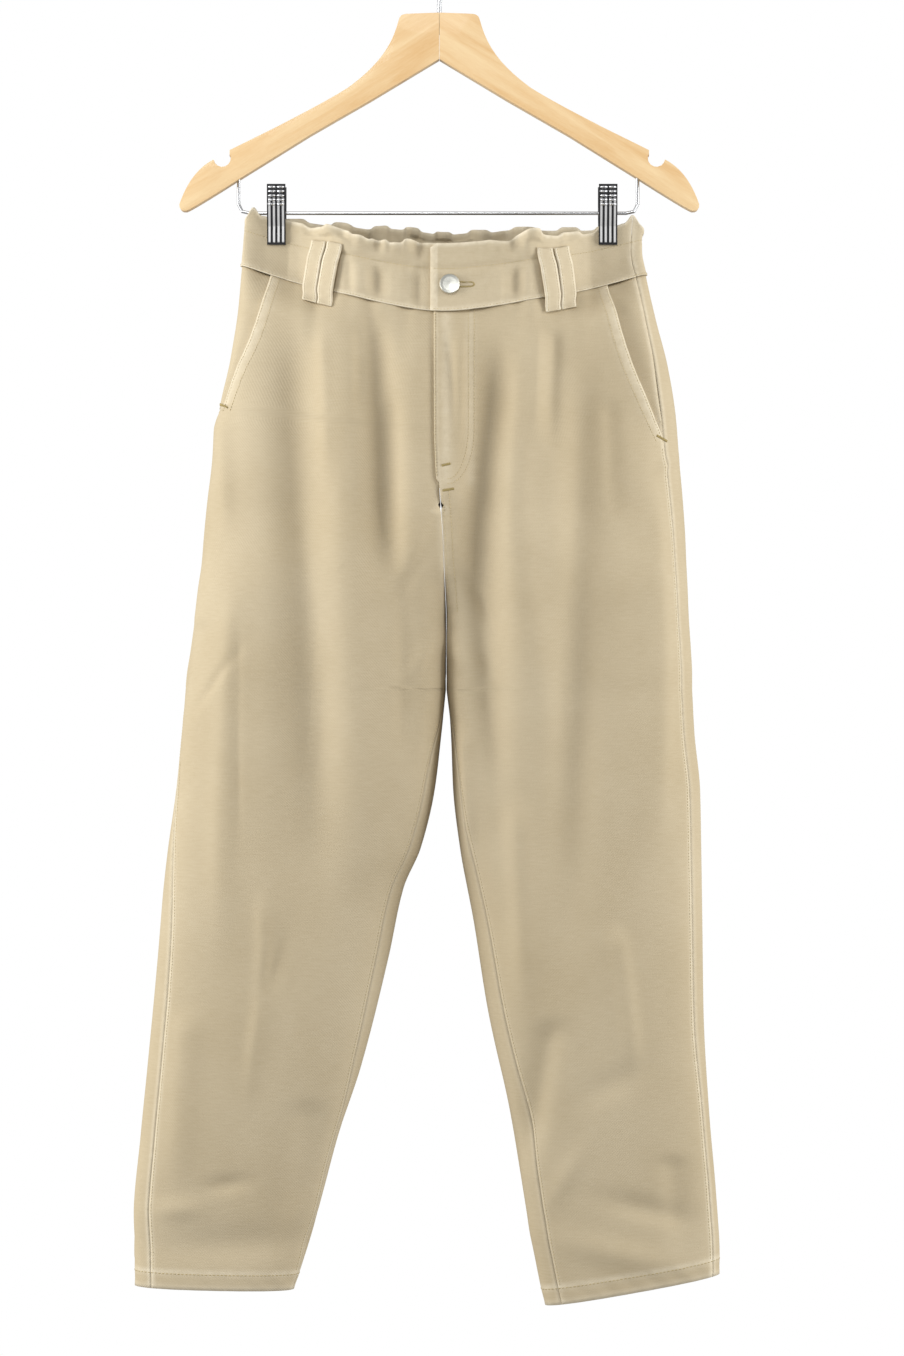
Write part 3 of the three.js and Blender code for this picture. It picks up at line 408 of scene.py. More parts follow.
def gathers_at(x, level, front):
    """Uneven puffs with sharp valleys between them, deepest along the stitching."""
    lean = x + 0.10 * (level - WAIST_SEAM) * np.sin(x / 19)
    puffs = sum(d * (np.abs(np.sin(lean / (2 * s) + a)) - 0.64) for s, a, d in GATHERS)
    below = 1 - ease(FRILL_SEAM - 1, FRILL_SEAM + 5, level)
    wander = 0.6 + 0.4 * np.sin(x / 23 + 1.3)
    return puffs * gathered(x, front) * wander * clear_of_loops(x, front) * (0.35 + 0.65 * below)


def frill_wave(x):
    """The broad flat folds of the frill, from -1 to 1, with crisp steps between them."""
    return np.tanh(2.6 * np.sin(x / 5.2 + 1.3 * np.sin(x / 29 + 0.7)))


def frill_at(x, level, front):
    """The frill flares from its stitched line, which lies in a groove."""
    up = ease(FRILL_SEAM, FRILL_TOP, level)
    groove = -1.5 * hill((level - FRILL_SEAM) / 2.4)
    beads = 0.7 * hill((level - WAIST_SEAM - 0.5) / 1.6) + 0.5 * hill((level - FRILL_TOP + 1) / 1.3)
    open_out = (FRILL_FLARE + FRILL_FOLD * frill_wave(x)) * up * gathered(x, front)
    return (open_out + groove) * (1 - pinch(x, level)) + beads


def gathers_below(x, level, front):
    """The same gathers running out down the panels from the waist seam."""
    fade = 1 - ease(0, 75, WAIST_SEAM - level)
    soft = sum(d * np.sin(x / (1.7 * s) + a) for s, a, d in GATHERS)
    placket = np.where(front, ease(22, 40, np.abs(x - 16)), 1)
    return 0.5 * soft * fade * placket * (1 - ease(120, 140, np.abs(x)))


def top_edge(x, y, front):
    drop = sum(
        np.where(front == (p["face"] == "front"), p["drop"] * hill((x - p["x"]) / (1.6 * p["width"])), 0)
        for p in PLEATS
    )
    beyond = np.abs(x) - np.where(x > 0, 155, 148)
    side = 8 * ease(2, 11, beyond)
    ear = np.where(front, 14 * hill((beyond - 12) / 6) * ease(-2.5, -5, y), 0)
    under_bar = np.where(front, 2, 6) * pinch(x, FRILL_TOP + 0 * x)
    step = EDGE_STEP * frill_wave(x) * gathered(x, front)
    return ear + step - 1.4 * drop - side - under_bar


def cloth_point(half, level, turn):
    """The plain form's points; turn runs from 0 at the outer edge to +pi round the front."""
    _, centre, radius, deep_front, deep_back = loop_at(half, level)
    front = turn >= 0
    cos, sin = np.cos(turn), np.sin(turn)
    power = np.where(np.abs(turn) < math.pi / 2, OUTER_POWER, inner_power(level))
    across = np.sign(cos) * np.abs(cos) ** (2 / power)
    x = SIDE[half] * (centre + radius * across)
    depth = np.where(front, deep_front, deep_back) * np.abs(sin) ** (2 / power)
    depth = lerp(depth, np.minimum(depth, PRESSED + BAND_WALL + 0.4), pinch(x, level))
    y = np.where(front, -depth, depth)
    z = level - sag(x, level, front)
    z = z + np.where(level > FRILL_SEAM, top_edge(x, y, front) * ease(FRILL_SEAM, FRILL_TOP, level), 0)
    across01 = np.clip((centre + radius - np.abs(x)) / (2 * radius), 0, 1)
    z = z + HEM_FALL[half] * across01 * ease(-1000, HEM[half], level)
    return np.stack([x, y, z], -1)


def lifted(half, level, turn, lift):
    """The same points moved out from the plain form by lift(x, z, level, front), in mm."""
    p = cloth_point(half, level, turn)
    d = 0.004
    along = cloth_point(half, level, turn + d) - cloth_point(half, level, turn - d)
    out = np.stack([-along[..., 1], along[..., 0], 0 * along[..., 0]], -1) * SIDE[half]
    out /= np.maximum(np.linalg.norm(out, axis=-1, keepdims=True), 1e-9)
    return p + out * lift(p[..., 0], p[..., 2], level, turn >= 0)[..., None]


def panel_lift(x, z, level, front):
    large = 1.35 * folds_at(x, z, front, FOLDS) + 1.7 * folds_at(x, z, front, CREASES)
    large = large + 1.8 * spots_at(x, z, front)
    return large * (1 - pinch(x, level)) + gathers_below(x, level, front)


def band_lift(x, z, level, front):
    fine = gathers_at(x, level, front) * (1 - 0.8 * pinch(x, level))
    return BAND_PROUD + pleats_at(x, level, front) + fine + frill_at(x, level, front)


def turn_at(half, level, x, front=True):
    _, centre, radius, _, _ = loop_at(half, level)
    share = np.clip((x - centre) / radius, -1, 1)
    power = np.where(share > 0, OUTER_POWER, inner_power(level))
    turn = np.arccos(np.sign(share) * np.abs(share) ** (power / 2))
    return np.where(front, turn, -turn)


def outseam_turn(half, level):
    _, centre, radius, _, _ = loop_at(half, level)
    shift = column(SEAM_SHIFT[half], "outseam", level)
    return turn_at(half, level, centre + radius - np.abs(shift), shift >= 0)


def inner_turn(half, level, front):
    middle, centre, radius, _, _ = loop_at(half, level)
    shift = column(SEAM_SHIFT[half], "inseam", level)
    below = turn_at(half, level, centre - radius + shift, True)
    return np.where(level > CROTCH, turn_at(half, level, middle, front), below - (0 if front else 2 * math.pi))


def wrapped(turn):
    return np.where(turn < -math.pi, turn + 2 * math.pi, turn)


def mouth_x(half, level):
    x = column(POCKET_MOUTH[half], "x", level)
    z = level - sag(SIDE[half] * x, level, np.ones_like(x, bool))
    return column(POCKET_MOUTH[half], "x", z)


def front_edge_turn(half, level):
    seam = outseam_turn(half, level)
    mouth = np.maximum(seam, turn_at(half, level, mouth_x(half, level)))
    foot = POCKET_MOUTH[half]["z"][-1] + MOUTH_END
    return lerp(seam, mouth, ease(foot - 6, foot + 6, level))


def fly_edge(half, level):
    reach = FLY_LAP if half == "left" else FLY_UNDER
    return -reach * ease(FLY_BOTTOM - 4, FLY_BOTTOM + 10, level)


def fly_lift(x, level):
    along = ease(FLY_BOTTOM - 26, FLY_BOTTOM - 5, level)
    return 1.9 * along * (1 - ease(FLY_UNDER + 3, FLY_UNDER + 22, x - column(HIPS, "middle", level)))


def front_reach(half, level):
    inner = inner_turn(half, level, True)
    past = turn_at(half, level, loop_at(half, level)[0] + fly_edge(half, level))
    return np.where(level > CROTCH, past, inner)


# ---------------------------------------------------------------- meshes of cloth


def spaced_turns(half, levels, start, end, count, gap_start, gap_end):
    """A row of turns for each level, evenly spaced along the cloth."""
    share = np.linspace(0, 1, 161)[None, :]
    turns = lerp(start[:, None], end[:, None], share)
    points = cloth_point(half, levels[:, None] + 0 * turns, wrapped(turns))
    steps = np.linalg.norm(np.diff(points, axis=1), axis=-1)
    along = np.concatenate([np.zeros((len(levels), 1)), np.cumsum(steps, axis=1)], axis=1)
    result = np.empty((len(levels), count))
    for i, row in enumerate(along):
        goal = np.linspace(gap_start / 2, row[-1] - gap_end / 2, count)
        result[i] = np.interp(goal, row, turns[i])
    return wrapped(result), along[:, -1]


def grid_mesh(name, outer, inner, wear, material):
    """A closed wall between two grids of points, with UVs in metres and a wear attribute."""
    r, c = outer.shape[:2]
    verts = np.concatenate([outer.reshape(-1, 3), inner.reshape(-1, 3)]) * MM
    at = np.arange(r * c).reshape(r, c)
    back = at + r * c

    def quads(a, b, d, e):
        return np.stack([a.ravel(), b.ravel(), d.ravel(), e.ravel()], -1)

    rim = [
        quads(at[:-1, 0], at[1:, 0], back[1:, 0], back[:-1, 0]),
        quads(at[1:, -1], at[:-1, -1], back[:-1, -1], back[1:, -1]),
        quads(at[0, 1:], at[0, :-1], back[0, :-1], back[0, 1:]),
        quads(at[-1, :-1], at[-1, 1:], back[-1, 1:], back[-1, :-1]),
    ]
    faces = np.concatenate(
        [
            quads(at[:-1, :-1], at[:-1, 1:], at[1:, 1:], at[1:, :-1]),
            quads(back[:-1, :-1], back[1:, :-1], back[1:, 1:], back[:-1, 1:]),
            *rim,
        ]
    )
    centre, normal = verts[faces[len(faces) // 4]].mean(0), None
    a, b, d = (verts[faces[(r // 2) * (c - 1) + c // 2, k]] for k in (0, 1, 2))
    normal = np.cross(b - a, d - a)
    outward = verts[at[r // 2, c // 2]] - verts[back[r // 2, c // 2]]
    if normal @ outward < 0:
        faces = faces[:, ::-1]
    mesh = bpy.data.meshes.new(name)
    mesh.from_pydata(verts.tolist(), [], faces.tolist())
    run = np.concatenate([np.zeros((r, 1)), np.cumsum(np.linalg.norm(np.diff(outer, axis=1), axis=-1), 1)], 1)
    fall = outer[..., 2]
    uv = np.stack([run - run.mean(), fall], -1).reshape(-1, 2) * MM
    uv = np.concatenate([uv, uv])
    index = np.empty(len(mesh.loops), dtype=np.int32)
    mesh.loops.foreach_get("vertex_index", index)
    mesh.uv_layers.new(name="cloth").data.foreach_set("uv", uv[index].ravel())
    attribute = mesh.attributes.new("wear", "FLOAT", "POINT")
    attribute.data.foreach_set("value", np.concatenate([wear.ravel(), wear.ravel()]).astype(np.float32))
    mesh.shade_smooth()
    mesh.materials.append(material)
    piece = bpy.data.objects.new(name, mesh)
    bpy.context.collection.objects.link(piece)
    return piece


def cloth_grid(half, levels, start, end, count, lift, thickness, gaps=(SEAM_GAP, SEAM_GAP), room=None):
    """Outer and inner points of a piece, its row lengths and each point's distance from its edges."""
    levels = np.asarray(levels, float)
    turns, lengths = spaced_turns(half, levels, start(levels), end(levels), count, *gaps)
    level = np.repeat(levels[:, None], count, 1)
    wall = thickness(level)
    outer = lifted(half, level, turns, lift)
    inner = lifted(half, level, turns, lambda *at: lift(*at) - wall)
    if room is not None:
        edge = (loop_at(half, level)[0] + room(level))[..., None]
        for points in (outer, inner):
            x = SIDE[half] * points[..., :1]
            points[..., :1] = SIDE[half] * np.where((level[..., None] >= CROTCH), np.maximum(x, edge), x)
    share = np.linspace(0, 1, count)[None, :]
    return outer, inner, lengths, (share * lengths[:, None], (1 - share) * lengths[:, None], level)


def even(top, bottom, step, *extra):
    """Levels from top to bottom about a step apart, with extra ones put in."""
    count = max(2, round((top - bottom) / step) + 1)
    return sorted({*np.linspace(top, bottom, count).round(3), *extra}, reverse=True)


def near_seam(distance, seam=1.2):
    """1 on a seam's raised edge, fading over the few millimetres that rub pale."""
    return hill((distance - seam) / 2.2)


def cut_of(lengths, levels, ease_in=1.0):
    """Flat width, length and area in metres of a piece with these row lengths."""
    fall = -np.diff(np.asarray(levels, float))
    area = float(np.sum((lengths[1:] + lengths[:-1]) / 2 * fall)) * MM * MM * ease_in
    width, length = float(lengths.max()) * MM * ease_in, float(fall.sum()) * MM
    return (round(width, 4), round(length, 4)), min(round(area, 5), round(width * length, 5))


STEP_Z = 3.2
STEP_X = 2.3

# ---------------------------------------------------------------- shader maths


class Shade:
    """Wraps a socket so that numbers and sockets can be used in expressions."""

    def __init__(self, tree, socket):
        self.tree, self.socket = tree, socket

    def node(self, kind, settings=(), output=0, **sockets):
        made = self.tree.nodes.new(kind)
        for name, value in dict(settings).items():
            setattr(made, name, value)
        for name, value in sockets.items():
            key = int(name[1:]) if name[1:].isdigit() else name.replace("_", " ")
            if isinstance(value, Shade):
                self.tree.links.new(value.socket, made.inputs[key])
            else:
                made.inputs[key].default_value = value
        return Shade(self.tree, made.outputs[output])

    def maths(self, operation, a, b=0.0, clamp=False):
        return self.node("ShaderNodeMath", {"operation": operation, "use_clamp": clamp}, _0=a, _1=b)

    def __add__(self, other):
        return self.maths("ADD", self, other)

    def __sub__(self, other):
        return self.maths("SUBTRACT", self, other)

    def __mul__(self, other):
        return self.maths("MULTIPLY", self, other)

    def __rsub__(self, other):
        return self.maths("SUBTRACT", other, self)

    __radd__ = __add__
    __rmul__ = __mul__

    def clamped(self):
        return self.maths("ADD", self, 0.0, clamp=True)

    def mix(self, a, b):
        """The colour a where this is 0 and b where it is 1."""
        made = self.tree.nodes.new("ShaderNodeMix")
        made.data_type = "RGBA"
        for key, value in ((0, self), (6, a), (7, b)):
            if isinstance(value, Shade):
                self.tree.links.new(value.socket, made.inputs[key])
            else:
                made.inputs[key].default_value = value
        return Shade(self.tree, made.outputs[2])


def colour(red, green, blue):
    """Linear colour from the eight-bit values that a swatch shows."""

    def linear(v):
        v /= 255
        return v / 12.92 if v <= 0.04045 else ((v + 0.055) / 1.055) ** 2.4

    return (linear(red), linear(green), linear(blue), 1)


def material(name, roughness=0.5, metallic=0.0):
    made = bpy.data.materials.new(name)
    made.use_nodes = True
    tree = made.node_tree
    surface = tree.nodes["Principled BSDF"]
    surface.inputs["Roughness"].default_value = roughness
    surface.inputs["Metallic"].default_value = metallic
    surface.inputs["Specular IOR Level"].default_value = 0.25 if metallic == 0 else 0.5
    return made, Shade(tree, None), surface


def put(shade, surface, name):
    shade.tree.links.new(shade.socket, surface.inputs[name])


def bump(start, height, strength, distance):
    return start.node("ShaderNodeBump", Strength=strength, Distance=distance, Height=height)


def twill(name, plain, pale, worn, warm=0.0):
    """Brushed twill: diagonal ribs, slubs, soft mottling and paler rubbed seams."""
    made, start, surface = material(name, 1.0)
    uv = start.node("ShaderNodeUVMap", {"uv_map": "cloth"})
    place = start.node("ShaderNodeTexCoord", output=3)
    ribs = start.node(
        "ShaderNodeTexWave",
        {"wave_type": "BANDS", "bands_direction": "DIAGONAL"},
        output=1,
        Vector=uv,
        Scale=260.0,
        Distortion=1.2,
        Detail=1.0,
    )
    fibre = start.node("ShaderNodeTexNoise", Vector=uv, Scale=900.0, Detail=3.0)
    slub = start.node(
        "ShaderNodeTexNoise",
        Vector=start.node("ShaderNodeMapping", Vector=uv, Scale=(90.0, 700.0, 1.0)),
        Scale=1.0,
        Detail=2.0,
    )
    patch = start.node("ShaderNodeTexNoise", Vector=place, Scale=9.0, Detail=3.0, Roughness=0.55)
    wear = start.node("ShaderNodeAttribute", {"attribute_name": "wear"}, output=2)
    rub = start.node("ShaderNodeTexNoise", Vector=place, Scale=210.0, Detail=2.0)
    mottled = ((patch - 0.5) * 1.1 + (slub - 0.5) * 0.55 + (fibre - 0.5) * 0.45 + 0.42).clamped()
    rubbed = (wear * (rub * 1.1 + 0.25)).clamped()
    put(rubbed.mix(mottled.mix(plain, pale), worn), surface, "Base Color")
    height = ribs * 0.5 + fibre * 0.6 + slub * 0.4
    put(bump(start, height, 0.35, 0.0004), surface, "Normal")
    surface.inputs["Specular IOR Level"].default_value = 0.08
    return made


def thread(name, tint):
    made, start, surface = material(name, 0.8)
    surface.inputs["Base Color"].default_value = tint
    return made


def metal(name, tint, roughness, grain=0.0):
    made, start, surface = material(name, roughness, 1.0)
    surface.inputs["Base Color"].default_value = tint
    if grain:
        place = start.node("ShaderNodeTexCoord", output=3)
        brushed = start.node("ShaderNodeMapping", Vector=place, Scale=(60.0, 60.0, 2600.0))
        lines = start.node("ShaderNodeTexNoise", Vector=brushed, Scale=1.0, Detail=3.0)
        put(bump(start, lines, grain, 0.0002), surface, "Normal")
    return made


def beech(name, lean):
    """Pale beech with the grain running down the arm, fine flecks and a knot or two."""
    made, start, surface = material(name, 0.42)
    place = start.node("ShaderNodeTexCoord", output=3)
    along = start.node("ShaderNodeMapping", Vector=place, Rotation=(0.0, lean, 0.0))
    stretched = start.node("ShaderNodeMapping", Vector=along, Scale=(7.0, 70.0, 95.0))
    waves = start.node("ShaderNodeTexNoise", Vector=stretched, Scale=1.0, Detail=4.0, Distortion=0.7)
    fleck = start.node(
        "ShaderNodeTexNoise",
        Vector=start.node("ShaderNodeMapping", Vector=along, Scale=(160.0, 900.0, 1300.0)),
        Scale=1.0,
        Detail=2.0,
    )
    knots = start.node("ShaderNodeTexVoronoi", Vector=along, Scale=16.0)
    knot = (1 - knots * 9.0).clamped()
    grain = ((waves - 0.5) * 2.2 + (fleck - 0.5) * 0.5 + 0.45).clamped()
    base = grain.mix(colour(240, 212, 166), colour(222, 181, 126))
    put((knot * 0.55).mix(base, colour(160, 104, 58)), surface, "Base Color")
    put(bump(start, waves, 0.12, 0.0003), surface, "Normal")
    surface.inputs["Coat Weight"].default_value = 0.15
    return made


CLOTH = twill("twill", colour(184, 168, 137), colour(206, 192, 164), colour(228, 217, 193))
# a darker, warmer copy of the twill: painted shade for the cloth's inside
CLOTH_INSIDE_PAINTED_SHADE = twill("twill_inside_painted_shade", colour(184, 160, 118), colour(206, 184, 146), colour(220, 204, 170))
THREAD = thread("thread", colour(198, 182, 142))
THREAD_DARK = thread("thread_olive", colour(170, 152, 102))
STEEL = metal("wire", colour(205, 206, 208), 0.25)
GRIP_STEEL = metal("grip_steel", colour(214, 215, 217), 0.3)


def steel_with_painted_reflection(half):
    """Dark plated steel with white stripes painted on its pressed ribs, a painted reflection of the glossy
    plating.
    """
    made, start, surface = material(f"clip_steel_painted_reflection_{half}", 0.3, 0.6)
    place = start.node("ShaderNodeTexCoord", output=3)
    x = start.node("ShaderNodeSeparateXYZ", output=0, Vector=place)
    z = start.node("ShaderNodeSeparateXYZ", output=2, Vector=place)
    turns = (x - SIDE[half] * CLIP_X[half] * MM) * (2 * math.pi / (RIB_PITCH * MM))
    painted_rib_glint = (start.maths("COSINE", turns) * -4.0 + 0.2).clamped()
    low = ((BAR_Z + 12) * MM - z).maths("GREATER_THAN", (BAR_Z + 12) * MM - z, 0.0)
    above_lip = z.maths("GREATER_THAN", z, (BAR_Z - 26) * MM)
    # painted reflection: white on the lower ribs, the plate's dark colour elsewhere
    put((painted_rib_glint * low * above_lip).mix(colour(48, 48, 50), colour(236, 236, 236)), surface, "Base Color")
    return made


RIB_PITCH = 3.9
# each clip's steel carries painted reflections on its ribs
CLIP_PAINTED_REFLECTION = {half: steel_with_painted_reflection(half) for half in SIDE}
BUTTON_METAL = metal("button_metal", colour(206, 206, 198), 0.38, grain=0.25)
WOOD = {half: beech(f"beech_{half}", SIDE[half] * math.radians(-31)) for half in SIDE}

# ---------------------------------------------------------------- stitches


def stitch_tree():
    """Small raised stitches instanced along a curve."""
    tree = bpy.data.node_groups.new("stitches", "GeometryNodeTree")
    face = tree.interface
    face.new_socket("Geometry", in_out="INPUT", socket_type="NodeSocketGeometry")
    for name in ("Pitch", "Length", "Width", "Turn"):
        face.new_socket(name, in_out="INPUT", socket_type="NodeSocketFloat")
    face.new_socket("Material", in_out="INPUT", socket_type="NodeSocketMaterial")
    face.new_socket("Geometry", in_out="OUTPUT", socket_type="NodeSocketGeometry")
    n, link = tree.nodes, tree.links.new
    entry, leave = n.new("NodeGroupInput"), n.new("NodeGroupOutput")
    points = n.new("GeometryNodeCurveToPoints")
    points.mode = "LENGTH"
    curve = n.new("GeometryNodeMeshToCurve")
    ball = n.new("GeometryNodeMeshUVSphere")
    ball.inputs["Segments"].default_value = 6
    ball.inputs["Rings"].default_value = 4
    ball.inputs["Radius"].default_value = 0.5
    size = n.new("ShaderNodeCombineXYZ")
    spin = n.new("FunctionNodeAlignRotationToVector")
    spin.axis = "X"
    turned = n.new("FunctionNodeRotateRotation")
    turned.rotation_space = "LOCAL"
    angle = n.new("FunctionNodeAxisAngleToRotation")
    angle.inputs["Axis"].default_value = (0, 1, 0)
    place, real = n.new("GeometryNodeInstanceOnPoints"), n.new("GeometryNodeRealizeInstances")
    paint = n.new("GeometryNodeSetMaterial")
    link(entry.outputs["Geometry"], curve.inputs["Mesh"])
    link(curve.outputs["Curve"], points.inputs["Curve"])
    link(entry.outputs["Pitch"], points.inputs["Length"])
    link(points.outputs["Points"], place.inputs["Points"])
    link(points.outputs["Tangent"], spin.inputs["Vector"])
    link(entry.outputs["Turn"], angle.inputs["Angle"])
    link(spin.outputs["Rotation"], turned.inputs["Rotation"])
    link(angle.outputs["Rotation"], turned.inputs["Rotate By"])
    link(turned.outputs["Rotation"], place.inputs["Rotation"])
    link(entry.outputs["Length"], size.inputs["X"])
    link(entry.outputs["Width"], size.inputs["Y"])
    link(entry.outputs["Width"], size.inputs["Z"])
    link(size.outputs["Vector"], place.inputs["Scale"])
    link(ball.outputs["Mesh"], place.inputs["Instance"])
    link(place.outputs["Instances"], real.inputs["Geometry"])
    link(real.outputs["Geometry"], paint.inputs["Geometry"])
    link(entry.outputs["Material"], paint.inputs["Material"])
    link(paint.outputs["Geometry"], leave.inputs["Geometry"])
    return tree


STITCHES = stitch_tree()


def stitched(name, lines, pitch=2.6, length=2.0, width=0.55, turn=0.0, paint=None):
    """One mesh of stitches along several lines of points given in mm."""
    mesh = bpy.data.meshes.new(name)
    verts, edges = [], []
    for line in lines:
        first = len(verts)
        verts += (np.asarray(line) * MM).tolist()
        edges += [(first + i, first + i + 1) for i in range(len(line) - 1)]
    mesh.from_pydata(verts, edges, [])
    seam = bpy.data.objects.new(name, mesh)
    bpy.context.collection.objects.link(seam)
    modifier = seam.modifiers.new("stitches", "NODES")
    modifier.node_group = STITCHES
    values = {
        "Pitch": pitch * MM,
        "Length": length * MM,
        "Width": width * MM,
        "Turn": turn,
        "Material": paint or THREAD,
    }
    for item in STITCHES.interface.items_tree:
        if item.in_out == "INPUT" and item.name in values:
            modifier[item.identifier] = values[item.name]
    baked = bpy.data.meshes.new_from_object(seam.evaluated_get(bpy.context.evaluated_depsgraph_get()))
    seam.modifiers.remove(modifier)
    seam.data = baked
    baked.name = name
    baked.shade_smooth()
    return trim(seam)


def trim(piece):
    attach(piece, "root")
    return piece


def surface_line(half, levels, turns, lift, proud=0.12):
    """Points just above the cloth along levels and turns."""
    return lifted(half, np.asarray(levels, float), np.asarray(turns, float), lambda *at: lift(*at) + proud)


# ---------------------------------------------------------------- legs


def leg_wall(half):
    return lambda level: np.where(level <= HEM[half] + HEM_HEIGHT, HEM_WALL, TWILL)


def seam_pucker(distance, level, depth=0.28):
    """The faint rippling of a flat-felled seam."""
    return depth * hill((distance - 3) / 3.5) * np.sin(level / 2.3 + 0.9 * np.sin(level / 17))


def hem_roping(level, half, along):
    """The slanting ripples that a turned-up hem takes."""
    height = level - HEM[half]
    return 0.3 * np.sin((along + 0.8 * height) / 3.1) * hill((height - 7) / 8)


def mouth_lift(half, x, level):
    """The edge of the pocket mouth stands up a little, most where it gapes."""
    away = mouth_x(half, level) - np.abs(x)
    stand = (5.0 if half == "left" else 1.6) * hill(away / 14)
    foot = POCKET_MOUTH[half]["z"][-1]
    return stand * ease(foot, foot + 50, level) * (1 - ease(-325, -302, level))


def placket_pucker(half, x, level):
    """Small ripples along the stitching of the mouth and of the fly."""
    wave = np.sin(level / 2.2 + 0.8 * np.sin(level / 13))
    away = mouth_x(half, level) - np.abs(x)
    foot = POCKET_MOUTH[half]["z"][-1]
    mouth = 0.4 * hill((away - 5) / 4) * ease(foot, foot + 12, level)
    fly = 0.0
    if half == "left":
        lines = 0.35 * hill((x - 30) / 4) + 0.3 * hill((x - 4) / 4)
        fly = lines * ease(FLY_BOTTOM - 6, FLY_BOTTOM + 8, level)
        fly = fly + 0.35 * hill((x - column(HIPS, "middle", level) - 5) / 4) * ease(CROTCH, CROTCH + 60, level) * (
            1 - ease(FLY_BOTTOM - 12, FLY_BOTTOM - 2, level)
        )
    return wave * (mouth + fly)


def front_lift(half):
    def lift(x, z, level, front):
        out = panel_lift(x, z, level, front)
        if half == "left":
            out = out + fly_lift(x, level)
        out = out + np.where(front, mouth_lift(half, x, level) + placket_pucker(half, x, level), 0)
        out = out + hem_roping(level, half, x)
        return out

    return lift


def back_lift(half):
    return lambda x, z, level, front: panel_lift(x, z, level, front) + hem_roping(level, half, x)


def panel_levels(half):
    hem = HEM[half] + HEM_HEIGHT
    return even(WAIST_SEAM - SEAM_GAP, HEM[half], STEP_Z, hem + 0.6, hem, hem - 1.2, CROTCH)


def edge_wear(edges, half, level):
    first, last, _ = edges
    hem = near_seam(level - HEM[half], 0.8) + 0.6 * near_seam(level - HEM[half] - HEM_HEIGHT, 0)
    return np.clip(0.7 * near_seam(first) + 0.3 * near_seam(last) + 0.9 * hem, 0, 1)


def front_panel(half):
    levels = panel_levels(half)
    count = round(195 / STEP_X)
    lift = front_lift(half)
    outer, inner, lengths, edges = cloth_grid(
        half,
        levels,
        lambda level: front_edge_turn(half, level),
        lambda level: front_reach(half, level),
        count,
        lift,
        leg_wall(half),
        room=lambda level: fly_edge(half, level) + SEAM_GAP / 2,
    )
    wear = edge_wear(edges, half, edges[2])
    foot = POCKET_MOUTH[half]["z"][-1]
    wear = wear + 0.4 * hill((edges[0] - 5) / 5) * ease(foot, foot + 10, edges[2])
    if half == "left":
        placket = 0.45 * hill((outer[..., 0] - 6) / 5) + 0.35 * hill((outer[..., 0] - 27) / 4)
        wear = wear + placket * ease(FLY_BOTTOM - 6, FLY_BOTTOM + 10, edges[2])
    piece = grid_mesh(f"shell_front_{half}", outer, inner, np.clip(wear, 0, 1), CLOTH)
    return piece, lengths, levels


def back_panel(half):
    levels = panel_levels(half)
    count = round(210 / STEP_X)
    outer, inner, lengths, edges = cloth_grid(
        half,
        levels,
        lambda level: outseam_turn(half, level),
        lambda level: inner_turn(half, level, False),
        count,
        back_lift(half),
        leg_wall(half),
        room=lambda level: SEAM_GAP / 2 + 0 * level,
    )
    piece = grid_mesh(f"shell_back_{half}", outer, inner, edge_wear(edges, half, edges[2]), CLOTH)
    return piece, lengths, levels


FACING_UNDER = TWILL + 1.6
FACING_TUCK = 26


def facing_lift(half):
    foot = POCKET_MOUTH[half]["z"][-1]

    def lift(x, z, level, front):
        edge = mouth_x(half, level)
        turn = outseam_turn(half, level)
        seam = np.abs(cloth_point(half, level, turn)[..., 0])
        slope = ease(0, np.maximum(seam - edge - 4, 1), seam - np.abs(x))
        gape = (5 if half == "left" else 2) * hill((np.abs(x) - edge) / 14) * ease(foot + 10, -370, level)
        return (
            panel_lift(x, z, level, front) - FACING_UNDER * slope - gape * ease(WAIST_SEAM, -335, level)
        )

    return lift


def pocket_facing(half):
    foot = POCKET_MOUTH[half]["z"][-1]
    levels = even(WAIST_SEAM - SEAM_GAP, foot + 6, STEP_Z)
    outer, inner, lengths, edges = cloth_grid(
        half,
        levels,
        lambda level: outseam_turn(half, level),
        lambda level: turn_at(half, level, mouth_x(half, level) - FACING_TUCK),
        round(60 / STEP_X),
        facing_lift(half),
        lambda level: TWILL + 0 * level,
    )
    wear = 0.6 * near_seam(edges[0])
    piece = grid_mesh(f"shell_facing_{half}", outer, inner, wear, CLOTH)
    return piece, lengths, levels


def declare(piece, node, lengths, levels, held="hung", rests_on=("clip_bar",), ease_in=1.0, extra=()):
    flat, area = cut_of(lengths, levels, ease_in)
    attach(piece, "root")
    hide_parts(node)
    print("SHEET", node, flat, area)


def seam_lines(half):
    """Topstitching on one front panel: the mouth's double row and the outseam."""
    lift = front_lift(half)
    foot = POCKET_MOUTH[half]["z"][-1]
    lines = []
    for inset in (1.6, 8.2):  # the mouth's double row
        levels = np.arange(WAIST_SEAM - 2, foot + 2, -2.0)
        turns = turn_at(half, levels, mouth_x(half, levels) - inset)
        lines.append(surface_line(half, levels, turns, lift))
    levels = np.arange(foot - 4, HEM[half] + HEM_HEIGHT, -3.0)
    _, centre, radius, _, _ = loop_at(half, levels)
    shift = column(SEAM_SHIFT[half], "outseam", levels)
    reach = centre + radius - np.abs(shift) - np.sign(shift) * 2.0
    lines.append(surface_line(half, levels, turn_at(half, levels, reach, shift + 1 > 0), lift))
    return lines


def hem_lines(half):
    lines = []
    level = HEM[half] + HEM_HEIGHT - 1.5
    for lift, start, end in (
        (front_lift(half), outseam_turn, lambda h, v: inner_turn(h, v, True)),
        (back_lift(half), outseam_turn, lambda h, v: inner_turn(h, v, False)),
    ):
        levels = np.full(90, float(level))
        turns = wrapped(np.linspace(float(start(half, levels)[0]), float(end(half, levels)[0]), 90))
        lines.append(surface_line(half, levels, turns, lift)[1:-1])
    return lines


